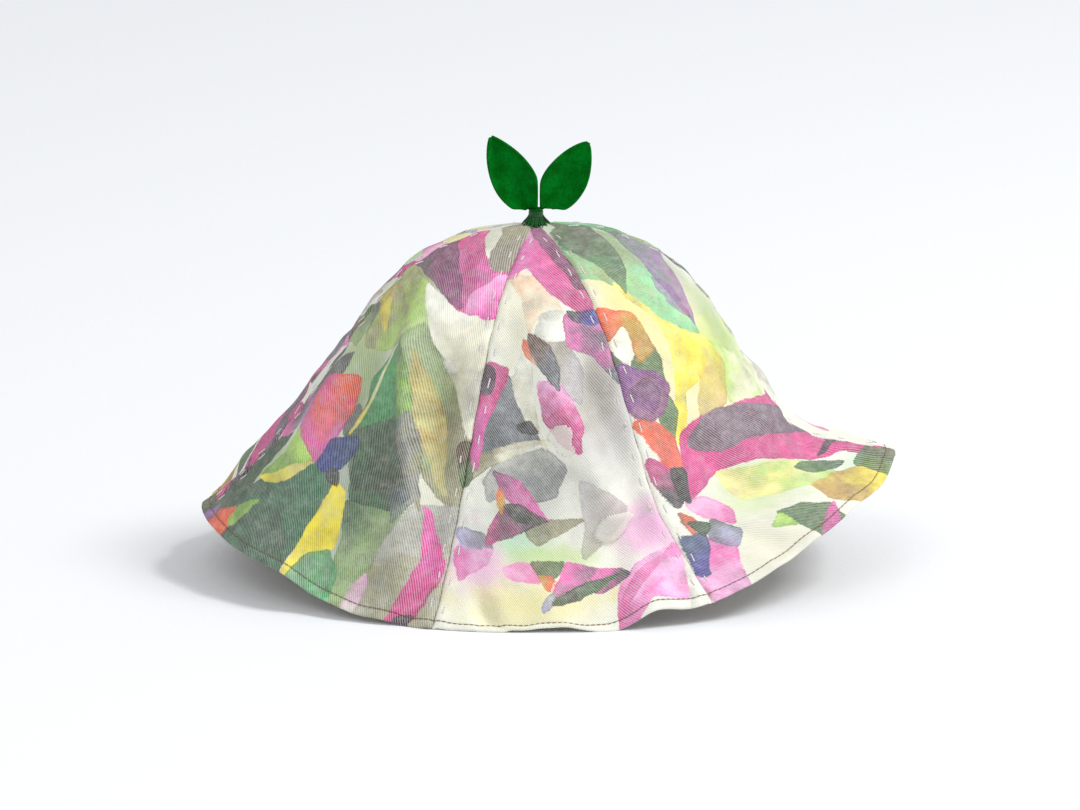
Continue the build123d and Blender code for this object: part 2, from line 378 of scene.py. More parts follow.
def ridge(p, q, start, end, height, width):
    """A bell-shaped ridge across the line from start to end, which fades beyond both ends."""
    along = np.subtract(end, start, dtype=float)
    length = np.hypot(*along)
    along = along / length
    share = ((p - start[0]) * along[0] + (q - start[1]) * along[1]) / length
    aside = (p - start[0]) * along[1] - (q - start[1]) * along[0]
    past = np.maximum(0.0, np.abs(share - 0.5) - 0.35) * length
    return height * np.exp(-(aside / width) ** 2 - (past / (1.6 * width)) ** 2)


def slow_waves(p, q, seed):
    """A sum of nine slow sine waves in random directions, mostly between -1 and 1."""
    draw = np.random.default_rng(seed)
    total = np.zeros_like(p)
    longest = 70.0
    for length in (longest, 48.0, 36.0, 29.0, 23.0, 18.0, 14.0, 11.0, 9.0):
        turn, phase = draw.uniform(0, 2 * math.pi, 2)
        wave = 2 * math.pi * (p * math.cos(turn) + q * math.sin(turn)) / length
        total += (length / longest) ** 0.8 * np.sin(wave + phase)
    return total / 2.2


def relief(name, p, q, width):
    """Height of the cloth over the plain shape, in mm, at p across and q down."""
    from_seam = width / 2 - np.abs(p)
    calm = ease(from_seam / calm_beside_seam) * ease((q - calm_at_apex) / 30.0)
    height = sum(ridge(p, q, *fold) for fold in FOLDS[name])
    height = calm * (fold_gain * height + wave_height * slow_waves(p, q, 40 + gore_names.index(name)))
    shoulder = 0.40 * np.exp(-((from_seam - 3.0) / 2.0) ** 2)
    seam = -0.8 * np.exp(-(from_seam / 0.8) ** 2) + shoulder
    pull = 0.5 + 0.5 * np.cos(2 * math.pi * (q - stitch_start - 2.1) / stitch_pitch)
    dent = -0.55 * pull ** 3 * np.exp(-((from_seam - stitch_row_offset) / 1.1) ** 2)
    pucker = 0.4 * np.sin(2 * math.pi * q / pucker_pitch + gore_names.index(name))
    pucker = pucker * np.exp(-(from_seam / 9.0) ** 2)
    hem = -0.35 * np.exp(-((q - slant + hem_stitch_inset) / 0.7) ** 2)
    rise = ease((q - 8.0) / 14.0)
    return height + rise * (seam + dent + pucker) + hem


def on_shape(index, p_share, q):
    """Angles at even shares across a gore, at each q: the oval's arc length is measured first."""
    first, last = seam_angle(index, q), seam_angle(index + 1, q)
    fine = np.linspace(0.0, 1.0, 241)
    angles = first[:, None] * (1 - fine) + last[:, None] * fine
    points = outer_face(np.repeat(q[:, None], fine.size, axis=1), angles)
    steps = np.linalg.norm(np.diff(points, axis=1), axis=-1)
    around = np.concatenate([np.zeros((q.size, 1)), np.cumsum(steps, axis=1)], axis=1)
    rows = [np.interp(p_share * total[-1], total, line) for total, line in zip(around, angles)]
    return np.array(rows), around[:, -1]


def surface_normals(points):
    """Unit normals of a grid of points, from the differences along its rows and columns."""
    normal = unit(np.cross(np.gradient(points, axis=1), np.gradient(points, axis=0)))
    return normal * np.sign(normal[..., 2:3] + 1e-9)


class Gore:
    """One gore's grid: q down its rows and p across its columns, with folded points and normals."""

    def __init__(self, name):
        index = gore_names.index(name)
        self.name = name
        self.q = np.linspace(apex_opening, slant, 1 + round((slant - apex_opening) / row_pitch))
        share = np.linspace(0.0, 1.0, gore_columns)
        angles, self.width = on_shape(index, share, self.q)
        self.p = (share - 0.5) * self.width[:, None]
        down = np.broadcast_to(self.q[:, None], angles.shape)
        plain = outer_face(down, angles)
        height = relief(name, self.p, down, self.width[:, None])
        self.points = plain + height[..., None] * surface_normals(plain)
        self.points[..., 2] += hem_lift(name, self.p, down)
        self.points[..., 2] = np.maximum(self.points[..., 2], floor_z)
        self.normal = surface_normals(self.points)
        self.down = down

    def at(self, p, q, lift):
        """Points on the folded cloth at p and q, lifted along its normal: a bilinear look-up."""
        row = np.clip((q - self.q[0]) / (self.q[1] - self.q[0]), 0, self.q.size - 1.001)
        width = np.interp(q, self.q, self.width)
        column = np.clip((p / width + 0.5) * (self.p.shape[1] - 1), 0, self.p.shape[1] - 1.001)
        i, j = row.astype(int), column.astype(int)
        u, v = (row - i)[..., None], (column - j)[..., None]

        def look(grid):
            near = grid[i, j] * (1 - v) + grid[i, j + 1] * v
            far = grid[i + 1, j] * (1 - v) + grid[i + 1, j + 1] * v
            return near * (1 - u) + far * u

        normal = unit(look(self.normal))
        return look(self.points) + np.asarray(lift)[..., None] * normal, normal


floor_z = facing_depth + facing_thickness - hem_press
gores = {name: Gore(name) for name in gore_names}
for name, gore in gores.items():
    print(name, "grid", gore.p.shape, "brim width in mm", round(gore.width[-1]))

# %% [markdown]
# The print is a loose watercolour of petals and leaves. A picture would need an image file, and
# this script carries none, so each motif is an outline in cloth millimetres, as it would be
# printed. numpy works out how far each point of the cloth lies inside or outside each outline.
# That distance is smooth, so the material can cut a sharp, slightly wobbling edge from it, and can
# darken the rim where the wet colour would have gathered. Motifs that overlap lie in different
# layers, and the higher layer is printed over the lower. Where two motifs of one layer meet, each
# point takes the ink of the one that it lies deeper in.

# %% Outlines and layers
LAYERS = 5
ink_spread = 0.5              # how far each motif ran past its outline
lattice_size = 64


def inside_distance(p, q, outline):
    """Signed distance to a closed outline: positive inside it, in mm."""
    nearest = np.full(p.shape, 1e9)
    crossings = np.zeros(p.shape, dtype=int)
    for (p0, q0), (p1, q1) in zip(outline, np.roll(outline, -1, axis=0)):
        run, rise = p1 - p0, q1 - q0
        share = np.clip(((p - p0) * run + (q - q0) * rise) / max(run * run + rise * rise, 1e-9), 0, 1)
        nearest = np.minimum(nearest, np.hypot(p - p0 - share * run, q - q0 - share * rise))
        between = (q0 > q) != (q1 > q)
        crossings += between & (p < run * (q - q0) / (rise if rise else 1e-9) + p0)
    return np.where(crossings % 2 == 1, nearest, -nearest)


def blend_along(p, q, start, end):
    """0 at start and 1 at end, along the line between them."""
    along = np.subtract(end, start, dtype=float)
    return ((p - start[0]) * along[0] + (q - start[1]) * along[1]) / (along ** 2).sum()


def cloud(p, q, size, seed, octaves=3):
    """Fractal value noise, about -1 to 1: each octave is a random lattice, eased between its points."""
    total = np.zeros(p.shape)
    for octave in range(octaves):
        lattice = np.random.default_rng(seed + 97 * octave).uniform(-1, 1, (lattice_size, lattice_size))
        x, y = p / size * 2 ** octave + 13.7, q / size * 2 ** octave + 5.1
        i, j = np.floor(x).astype(int), np.floor(y).astype(int)
        u, v = ease(x - i), ease(y - j)
        i0, i1, j0, j1 = (index % lattice_size for index in (i, i + 1, j, j + 1))
        near = lattice[i0, j0] * (1 - u) + lattice[i1, j0] * u
        far = lattice[i0, j1] * (1 - u) + lattice[i1, j1] * u
        total += (near * (1 - v) + far * v) / 1.6 ** octave
    return total / 1.5


# %% [markdown]
# Inks are named as a dyer would name them and given as they read on the cloth. Cotton scatters
# white light from between its ribs, so each ink is printed a little deeper than it has to look.

# %% Inks
INKS = {                      # colours as the eye reads them
    "cream": (0.95, 0.94, 0.88), "paper": (0.97, 0.97, 0.94), "butter": (0.97, 0.94, 0.70),
    "lemon": (0.98, 0.94, 0.16), "ochre": (0.86, 0.74, 0.22), "lime": (0.68, 0.82, 0.36),
    "pear": (0.80, 0.90, 0.52), "sage": (0.70, 0.78, 0.58), "moss": (0.48, 0.60, 0.36),
    "leaf": (0.40, 0.60, 0.38), "emerald": (0.28, 0.72, 0.46), "mint": (0.62, 0.90, 0.74),
    "pine": (0.22, 0.46, 0.27), "sea": (0.26, 0.60, 0.44), "deep_sea": (0.16, 0.44, 0.32),
    "ink_green": (0.10, 0.18, 0.16), "olive": (0.58, 0.58, 0.42), "khaki": (0.72, 0.70, 0.57),
    "magenta": (0.88, 0.28, 0.68), "rose": (0.93, 0.52, 0.80), "blush": (0.97, 0.80, 0.92),
    "plum": (0.50, 0.24, 0.46), "dusk": (0.68, 0.44, 0.62), "violet": (0.70, 0.42, 0.74),
    "mauve": (0.74, 0.50, 0.68), "lavender": (0.77, 0.77, 0.88), "slate": (0.50, 0.52, 0.57),
    "mist": (0.82, 0.82, 0.80), "pewter": (0.62, 0.63, 0.65), "smoke": (0.80, 0.78, 0.80),
    "navy": (0.13, 0.15, 0.33), "royal": (0.10, 0.26, 0.72), "blue": (0.22, 0.44, 0.64),
    "coral": (0.94, 0.52, 0.42), "orange": (0.94, 0.52, 0.14), "rust": (0.52, 0.33, 0.24),
    "aubergine": (0.34, 0.24, 0.40), "peach": (0.96, 0.86, 0.76), "bark": (0.34, 0.37, 0.28),
    "taupe": (0.66, 0.61, 0.55),
}


def ink_colour(name):
    """An ink as it has to be printed: deeper than it reads, for the cloth scatters white light."""
    return np.array([*(c ** 1.5 for c in linear(*INKS[name])[:3]), 1.0])


# %% [markdown]
# Each motif is (layer, first ink, second ink, strength, outline). The colour runs from the first
# ink at the outline's first point to the second ink half way round it. A slim outline is a petal,
# worked out from its tip, its foot, its width and how far it bends, and a broad one is a patch with
# few corners. Each wash is (ink, middle, radii, strength), a soft stain with no edge, printed
# under every motif. The smoke wash on the front gore is no stain but painted shade, the grey of a
# long fold, and the back left gore takes it too. The gores at the back take the front ones' motifs
# turned half round, and some of them again a little further along.

# %% The print
WASHES = {
    "front_left": [("sage", (-18, 62), (16, 22), 0.8), ("butter", (-26, 76), (12, 22), 0.9),
                   ("sage", (-22, 104), (18, 22), 0.8), ("khaki", (30, 92), (12, 20), 0.6),
                   ("leaf", (8, 150), (30, 40), 0.5), ("sage", (-54, 150), (14, 50), 0.8),
                   ("cream", (44, 160), (20, 30), 0.8),
                   ("sage", (50, 182), (14, 18), 0.6), ("khaki", (-12, 40), (16, 30), 0.6)],
    "front": [("blush", (0, 22), (14, 16), 0.9), ("cream", (-10, 54), (12, 30), 0.9),
              # the smoke wash is painted shade: the grey of the long diagonal fold across this gore
              ("smoke", (26, 106), (18, 30), 0.6), ("mist", (-12, 134), (20, 16), 0.7),
              ("taupe", (20, 92), (10, 22), 0.5), ("blush", (40, 154), (18, 12), 0.9),
              ("mint", (-20, 152), (14, 8), 0.5), ("pear", (-6, 160), (20, 6), 0.6),
              ("butter", (-16, 180), (32, 12), 0.7), ("blush", (-36, 163), (12, 12), 0.8)],
    "front_right": [("sage", (-2, 24), (14, 18), 0.8), ("slate", (20, 46), (10, 26), 0.5),
                    ("butter", (-14, 62), (14, 26), 0.9), ("butter", (4, 100), (26, 30), 0.8),
                    ("pear", (24, 104), (18, 22), 0.7), ("sage", (26, 86), (10, 22), 0.5),
                    ("ochre", (6, 156), (14, 8), 0.5), ("pear", (-8, 158), (22, 14), 0.5),
                    ("cream", (-30, 182), (26, 18), 0.8), ("mint", (34, 186), (16, 12), 0.4)],
}


def petal(tip, foot, wide, bend=0.0):
    """Two arcs from tip to foot. At share t of the way the half width is wide / 2 times
    sin(pi t ** 0.8), and the middle line lies bend times sin(pi t) to one side."""
    t = np.linspace(0, 1, 7)[:, None]
    tip, along = np.array(tip, dtype=float), np.subtract(foot, tip)
    side = np.array([-along[1], along[0]]) / np.hypot(*along)
    middle = tip + t * along + bend * np.sin(np.pi * t) * side
    half = 0.5 * wide * np.sin(np.pi * t ** 0.8) * side
    return np.concatenate([middle + half, (middle - half)[-2:0:-1]])


def patch(*corners):
    """Straight sides with each corner cut 1.0 mm and then 0.4 mm from its tip: a little blunt."""
    points = np.array(corners, dtype=float)
    for cut in (1.0, 0.4):
        before, after = np.roll(points, 1, axis=0) - points, np.roll(points, -1, axis=0) - points
        first = points + unit(before) * np.minimum(cut, 0.3 * np.linalg.norm(before, axis=1))[:, None]
        second = points + unit(after) * np.minimum(cut, 0.3 * np.linalg.norm(after, axis=1))[:, None]
        points = np.stack([first, second], axis=1).reshape(-1, 2)
    return points


MOTIFS = {
    "front_left": [
        (0, "khaki", "taupe", 0.85, patch((-6, 8), (0, 5), (12, 26), (19, 41), (10, 36))),
        (1, "paper", "cream", 0.92, patch(
            (-8, 56), (19, 62), (28, 60), (34, 82), (27, 87), (13, 78))),
        (0, "khaki", "pear", 0.8, patch(
            (-37, 69), (-26, 54), (-8, 56), (7, 70), (-4, 84), (-24, 94))),
        (2, "ochre", "lemon", 0.6, petal((-34, 64), (-20, 84), 6)),
        (2, "magenta", "rose", 0.96, patch(
            (-20, 27), (-6, 23), (14, 40), (21, 42), (28, 60), (16, 62), (-4, 53), (-25, 44))),
        (3, "plum", "dusk", 0.85, patch((-26, 52), (-22, 33), (-7, 38), (8, 50), (16, 61), (-6, 54))),
        (3, "blush", "rose", 0.75, patch((15, 52), (20, 42), (28, 60), (18, 62))),
        (1, "aubergine", "lavender", 0.85, petal((-28, 99), (-43, 141), 11)),
        (1, "pine", "deep_sea", 0.95, patch(
            (-42, 142), (-52, 152), (-62, 174), (-70, 192), (-50, 192), (-47, 164))),
        (0, "aubergine", "rose", 0.85, patch(
            (-40, 100), (-52, 128), (-62, 152), (-50, 152), (-42, 138))),
        (1, "sage", "slate", 0.8, patch((-44, 94), (-39, 72), (-27, 70), (-29, 97))),
        (2, "coral", "rose", 0.95, patch(
            (-20, 105), (-15, 120), (-14, 136), (-18, 146), (-38, 136), (-33, 115))),
        (1, "slate", "navy", 0.8, petal((-15, 115), (-6, 133), 10)),
        (3, "royal", "blue", 0.97, patch(
            (-18, 146), (-16, 134), (-4, 127), (-1, 132), (-6, 144), (-13, 148))),
        (4, "navy", "ink_green", 0.9, petal((-10, 145), (-3, 150), 5)),
        (1, "lime", "pear", 0.95, patch(
            (-46, 165), (-38, 150), (-37, 137), (-31, 137), (-19, 145), (-32, 157))),
        (2, "lemon", "butter", 0.85, petal((-45, 165), (-19, 146), 5, 3)),
        (0, "deep_sea", "sea", 0.97, patch(
            (-50, 206), (-49, 174), (-41, 163), (-20, 146), (-5, 147), (-4, 172), (-2, 206))),
        (2, "pear", "lime", 0.9, petal((-49, 190), (-36, 173), 6)),
        (2, "coral", "orange", 0.95, patch((-62, 204), (-57, 188), (-47, 181), (-45, 204))),
        (1, "aubergine", "violet", 0.9, patch((-68, 204), (-65, 184), (-52, 177), (-60, 204))),
        (1, "lemon", "lemon", 0.98, patch(
            (0, 206), (-4, 170), (-5, 149), (1, 150), (8, 166), (10, 175), (3, 182))),
        (2, "mint", "emerald", 0.85, patch((1, 206), (2, 182), (9, 175), (18, 181), (27, 206))),
        (0, "leaf", "sage", 0.9, patch(
            (3, 153), (28, 149), (34, 145), (31, 165), (29, 206), (22, 200), (11, 168))),
        (1, "emerald", "pine", 0.95, patch(
            (-14, 104), (-4, 85), (7, 98), (22, 121), (33, 143), (28, 151), (4, 152), (-3, 132))),
        (2, "pine", "bark", 0.7, patch((-11, 128), (12, 112), (24, 124), (30, 139), (4, 148))),
        (3, "slate", "pewter", 0.7, patch((23, 142), (31, 137), (35, 144), (30, 156))),
        (4, "lemon", "cream", 0.9, petal((-9, 128), (-6, 87), 2)),
        (0, "sage", "khaki", 0.9, patch(
            (-4, 82), (5, 71), (21, 86), (37, 104), (50, 117), (57, 146), (44, 140), (30, 128),
            (13, 104))),
        (2, "ochre", "butter", 0.5, petal((8, 84), (45, 138), 9)),
        (3, "moss", "lime", 0.8, petal((-2, 81), (22, 119), 7)),
        (3, "pewter", "khaki", 0.85, petal((14, 105), (38, 147), 8)),
        (1, "khaki", "mist", 0.85, patch(
            (31, 192), (30, 168), (35, 146), (43, 143), (57, 146), (62, 160), (74, 206), (48, 206))),
        (3, "rose", "magenta", 0.93, patch(
            (39, 144), (44, 148), (56, 169), (60, 190), (57, 206), (51, 206), (49, 168))),
        (4, "navy", "plum", 0.9, patch((53, 191), (59, 189), (61, 206), (54, 206))),
        (2, "blush", "paper", 0.8, petal((30, 178), (34, 206), 6)),
        (0, "mist", "cream", 0.85, patch(
            (26, 61), (37, 82), (41, 103), (49, 119), (32, 98), (22, 85))),
        (3, "rust", "moss", 0.9, patch((42, 117), (50, 119), (53, 131))),
    ],
    "front": [
        (2, "rose", "magenta", 0.95, patch(
            (-14, 36), (-9, 14), (4, 4), (13, 26), (17, 42), (16, 61), (4, 50), (-6, 33))),
        (3, "dusk", "plum", 0.85, petal((1, 4), (15, 46), 12, -2)),
        (3, "blush", "rose", 0.7, petal((-6, 10), (-13, 38), 8)),
        (0, "peach", "cream", 0.8, patch((-11, 40), (-3, 38), (6, 54), (7, 60), (-4, 60), (-8, 67))),
        (1, "mist", "paper", 0.85, patch((-3, 58), (7, 57), (8, 70), (-6, 70))),
        (0, "taupe", "smoke", 0.75, patch((-5, 70), (8, 70), (15, 84), (13, 98), (4, 90))),
        (2, "rose", "slate", 0.93, patch((7, 59), (17, 63), (23, 74), (31, 90), (20, 79), (9, 73))),
        (4, "navy", "royal", 0.9, petal((9, 58), (19, 63), 3, 1)),
        (3, "orange", "peach", 0.9, petal((-10, 69), (-6, 80), 3)),
        (3, "rust", "slate", 0.93, petal((-8, 67), (3, 90), 9, -1)),
        (1, "paper", "cream", 0.95, petal((-9, 71), (-3, 115), 8, 6)),
        (2, "blush", "magenta", 0.95, patch(
            (-6, 87), (3, 87), (9, 96), (12, 107), (10, 119), (3, 112), (-4, 101))),
        (3, "magenta", "rose", 0.93, patch(
            (-23, 82), (-17, 81), (-19, 88), (-30, 107), (-34, 123), (-38, 113), (-33, 94))),
        (4, "slate", "navy", 0.9, patch((-31, 86), (-23, 84), (-26, 92))),
        (1, "pewter", "slate", 0.95, patch(
            (-18, 83), (-14, 97), (-6, 108), (-5, 112), (-22, 115), (-33, 124), (-31, 112), (-22, 94))),
        (4, "ink_green", "navy", 0.95, patch((-16, 105), (-10, 102), (-6, 108), (-12, 108))),
        (2, "khaki", "cream", 0.85, petal((-37, 127), (-2, 111), 5, -3)),
        (0, "mist", "pewter", 0.8, patch(
            (-22, 119), (-3, 114), (5, 124), (-1, 135), (-9, 137), (-18, 128), (-29, 138), (-31, 129))),
        (3, "mauve", "rose", 0.93, petal((-26, 125), (-4, 145), 9)),
        (4, "orange", "ochre", 0.9, petal((-24, 132), (-24, 142), 3)),
        (2, "magenta", "plum", 0.95, patch((-31, 156), (-24, 139), (-6, 145), (-18, 150))),
        (4, "ink_green", "bark", 0.88, petal((-23, 138), (-4, 145), 6, 1)),
        (1, "olive", "khaki", 0.85, patch((-7, 144), (11, 145), (-2, 151), (-10, 155), (-14, 149))),
        (1, "rose", "blush", 0.85, patch((-42, 160), (-28, 157), (-32, 165), (-44, 171))),
        (1, "lavender", "slate", 0.8, patch((-39, 152), (-31, 151), (-28, 157), (-40, 159))),
        (0, "smoke", "taupe", 0.5, patch(
            (9, 129), (20, 135), (30, 144), (21, 153), (8, 162), (11, 148))),
        (1, "rose", "blush", 0.93, patch(
            (17, 206), (21, 178), (29, 170), (41, 166), (53, 171), (50, 190), (34, 188))),
        (2, "magenta", "rose", 0.6, petal((19, 192), (46, 167), 5, -4)),
        (1, "blush", "rose", 0.8, patch((-26, 166), (-18, 162), (-10, 163), (-11, 171), (-24, 169))),
        (2, "olive", "moss", 0.93, patch((-14, 161), (1, 162), (-5, 169), (-11, 168))),
        (3, "ochre", "orange", 0.93, patch((-12, 167), (-4, 168), (-8, 175))),
        (3, "rose", "dusk", 0.93, patch((1, 162), (14, 166), (6, 173), (-6, 176))),
        (4, "ink_green", "leaf", 0.93, petal((-9, 181), (23, 171), 5, -1)),
        (3, "rose", "aubergine", 0.93, patch((13, 166), (21, 168), (27, 173), (15, 177), (8, 175))),
        (4, "lavender", "mist", 0.9, petal((-11, 184), (-6, 175), 3)),
        (2, "paper", "paper", 0.95, patch((54, 168), (60, 182), (64, 206), (49, 206))),
        (3, "rust", "moss", 0.9, petal((-39, 118), (-38, 129), 3)),
    ],
    "front_right": [
        (0, "sage", "mint", 0.8, patch(
            (6, 6), (14, 20), (21, 34), (16, 48), (9, 70), (8, 90), (-9, 74), (-15, 54), (-20, 40),
            (-10, 24))),
        (1, "bark", "leaf", 0.8, petal((6, 7), (-13, 58), 16)),
        (2, "slate", "violet", 0.75, petal((20, 26), (8, 84), 18)),
        (3, "violet", "mauve", 0.6, petal((4, 58), (8, 81), 8)),
        (0, "butter", "lemon", 0.9, patch(
            (-17, 46), (-11, 52), (-7, 70), (-1, 84), (5, 94), (0, 104), (-14, 106), (-24, 128),
            (-28, 124), (-14, 96), (-10, 78))),
        (1, "lemon", "ochre", 0.6, patch(
            (-3, 82), (10, 91), (16, 104), (5, 119), (-12, 117), (-4, 104))),
        (0, "pear", "cream", 0.75, patch((9, 92), (30, 107), (49, 126), (50, 134), (7, 121))),
        (2, "orange", "ochre", 0.97, patch(
            (-37, 65), (-26, 62), (-18, 66), (-19, 84), (-28, 87), (-25, 69), (-38, 70))),
        (1, "cream", "paper", 0.9, patch((-38, 70), (-25, 70), (-29, 80), (-37, 87))),
        (1, "leaf", "moss", 0.93, patch((-21, 76), (-18, 88), (-20, 99), (-25, 107), (-32, 88))),
        (1, "ink_green", "moss", 0.9, patch((-38, 70), (-34, 82), (-37, 94), (-44, 100), (-41, 82))),
        (3, "violet", "mauve", 0.95, patch(
            (-35, 87), (-22, 93), (-20, 101), (-27, 110), (-35, 112), (-39, 100))),
        (4, "plum", "violet", 0.7, petal((-29, 94), (-32, 109), 10)),
        (2, "leaf", "moss", 0.9, petal((-23, 103), (-30, 125), 8)),
        (3, "orange", "coral", 0.97, patch(
            (-39, 111), (-32, 113), (-27, 121), (-30, 134), (-38, 132))),
        (3, "magenta", "navy", 0.95, patch((-42, 128), (-30, 134), (-38, 148), (-43, 150))),
        (4, "ink_green", "navy", 0.95, patch((-36, 132), (-30, 135), (-36, 150), (-39, 146))),
        (1, "magenta", "magenta", 0.97, patch(
            (-31, 134), (-23, 121), (-11, 117), (15, 124), (50, 134), (56, 156), (64, 177),
            (72, 206), (52, 206), (41, 172), (22, 158), (2, 145), (-14, 141), (-38, 149))),
        (2, "pewter", "slate", 0.85, patch(
            (-23, 127), (-12, 118), (-2, 119), (17, 126), (42, 141), (55, 155), (34, 147), (8, 137),
            (-10, 135))),
        (4, "navy", "aubergine", 0.9, petal((32, 164), (63, 173), 3, -2)),
        (3, "leaf", "pine", 0.92, petal((14, 160), (36, 174), 8)),
        (3, "leaf", "moss", 0.88, patch((37, 178), (54, 183), (72, 206), (44, 206))),
        (0, "ochre", "lemon", 0.92, patch(
            (8, 172), (28, 175), (44, 185), (46, 206), (22, 206), (6, 184))),
        (0, "butter", "pear", 0.75, patch(
            (-16, 141), (8, 152), (25, 162), (28, 174), (8, 172), (-17, 158))),
        (2, "leaf", "moss", 0.92, patch((-14, 173), (-4, 176), (4, 186), (2, 206), (-10, 204))),
        (3, "lime", "pear", 0.9, patch((-21, 178), (-13, 174), (-13, 184))),
        (1, "blush", "rose", 0.88, patch((-39, 149), (-29, 149), (-24, 159), (-29, 166), (-37, 157))),
        (2, "slate", "lavender", 0.85, patch((-35, 159), (-29, 170), (-38, 176), (-43, 167))),
        (3, "rust", "orange", 0.92, patch((-44, 151), (-40, 156), (-47, 164))),
        (4, "ink_green", "pine", 0.95, patch((-44, 156), (-37, 161), (-44, 166))),
        (3, "blue", "royal", 0.93, patch((-50, 163), (-42, 164), (-48, 172), (-58, 182))),
        (1, "rose", "blush", 0.93, patch(
            (-42, 166), (-36, 173), (-46, 185), (-58, 206), (-68, 206), (-60, 184))),
        (3, "rose", "mauve", 0.8, petal((6, 186), (-22, 208), 7)),
    ],
}


turned_q = 212                # the sum of a place's q before and after it is turned half round


def turned_half(motifs):
    """The same motifs, turned half round about the point at p = 0 and q = turned_q / 2."""
    return [(*motif[:4], (0, turned_q) - motif[4]) for motif in motifs]


def shifted(motifs, across, down):
    """The same motifs, further along the cloth's repeat."""
    return [(*motif[:4], motif[4] + (across, down)) for motif in motifs]


MOTIFS["back_right"] = turned_half(MOTIFS["front_left"]) + shifted(MOTIFS["front"][18:], 8, 2)
MOTIFS["back"] = turned_half(MOTIFS["front_right"]) + shifted(MOTIFS["front_left"][11:22], 24, -2)
MOTIFS["back_left"] = turned_half(MOTIFS["front"]) + shifted(MOTIFS["front_right"][15:], 6, 4)
for name, source in (("back_right", "front_left"), ("back", "front_right"), ("back_left", "front")):
    WASHES[name] = [(ink, (-p, turned_q - q), radii, strength)
                    for ink, (p, q), radii, strength in WASHES[source]]
print("motifs on each gore:", {name: len(motifs) for name, motifs in MOTIFS.items()})

seam_reach = 3.5              # how far a motif near a seam runs on, to be cut off by the seam
slow_drift, fine_drift = 0.9, 0.35    # how far the wet edges wander, over 15 mm and over 4 mm
mottle = 0.30                 # how unevenly one ink takes on the cloth


def paint(name, p, q):
    """The soft ground colour, and each layer's distance inside its nearest motif with its ink."""
    seed = 10 * gore_names.index(name)
    from_seam = np.abs(p).max(axis=1, keepdims=True) - np.abs(p)
    reach = ink_spread + seam_reach * (1 - ease(from_seam / 9.0))
    p = p + slow_drift * cloud(p, q, 15.0, seed + 1) + fine_drift * cloud(p, q, 4.0, seed + 2, 2)
    q = q + slow_drift * cloud(p, q, 15.0, seed + 3) + fine_drift * cloud(p, q, 4.0, seed + 4, 2)
    ground = np.broadcast_to(ink_colour("paper"), (*p.shape, 4)).copy()
    for number, (ink, (p0, q0), (wide, long), strength) in enumerate(WASHES[name]):
        away = ((p - p0) / wide) ** 2 + ((q - q0) / long) ** 2
        stain = strength * np.exp(-(away * (1.0 + 0.7 * cloud(p, q, 9.0, seed + number))) ** 1.5)
        ground += stain[..., None] * (ink_colour(ink) - ground)
    depths = np.full((LAYERS, *p.shape), -40.0)
    inks = np.zeros((LAYERS, *p.shape, 4))
    for number, (layer, first, second, strength, outline) in enumerate(MOTIFS[name]):
        inside = inside_distance(p, q, outline) + reach
        share = blend_along(p, q, outline[0], outline[len(outline) // 2])
        share = ease(share + 0.55 * cloud(p, q, 8.0, seed + 31 * number))[..., None]
        ink = (1 - share) * ink_colour(first) + share * ink_colour(second)
        ink *= np.clip(1.0 + mottle * cloud(p, q, 9.0, seed + 17 * number, 4), 0.5, 1.6)[..., None]
        ink[..., 3] = strength
        nearer = inside > depths[layer]
        depths[layer] = np.where(nearer, inside, depths[layer])
        inks[layer] = np.where(nearer[..., None], ink, inks[layer])
    return ground, depths, inks


# %% [markdown]
# A gore's mesh is one closed skin: down the outer face, round the folded edge of the brim, and
# back up the wrong side. The fold is a half circle that takes in the turned-up hem behind it. The
# attribute `cloth` carries p, q and how far a point is on the wrong side, so weave and print
# follow the cloth and not the room.

# %% Gores
edge_turn = (facing_depth + facing_thickness) / 2
fold_degrees = [25, 55, 90, 125, 155, 180]
floor_clearance = 0.02


def gore_skin(gore):
    """Rows of points from the apex down the outer face, round the brim edge and up the inner face."""
    outer = gore.points
    inner = gore.points - cloth_thickness * gore.normal
    edge, normal = outer[-1], gore.normal[-1]
    outward = unit(outer[-1] - outer[-3])
    turns = np.radians(fold_degrees)[:, None, None]
    fold = edge - edge_turn * normal + edge_turn * (np.cos(turns) * normal + np.sin(turns) * outward)
    tuck = inner[-1][None] - 0.25 * outward
    points = np.concatenate([outer, fold, tuck, inner[::-1][1:]])
    points[..., 2] = np.maximum(points[..., 2], floor_clearance)
    fold_q = slant + np.sin(turns[..., 0]) * edge_turn + np.zeros(gore.p.shape[1])
    down = np.concatenate([gore.down, fold_q, gore.down[-1:], gore.down[::-1][1:]])
    brim_p = np.repeat(gore.p[-1:], len(turns) + 1, axis=0)
    across = np.concatenate([gore.p, brim_p, gore.p[::-1][1:]])
    wrong = np.concatenate([np.zeros(len(outer) + 3), np.ones(len(points) - len(outer) - 3)])
    return points, across, down, np.repeat(wrong[:, None], points.shape[1], axis=1)


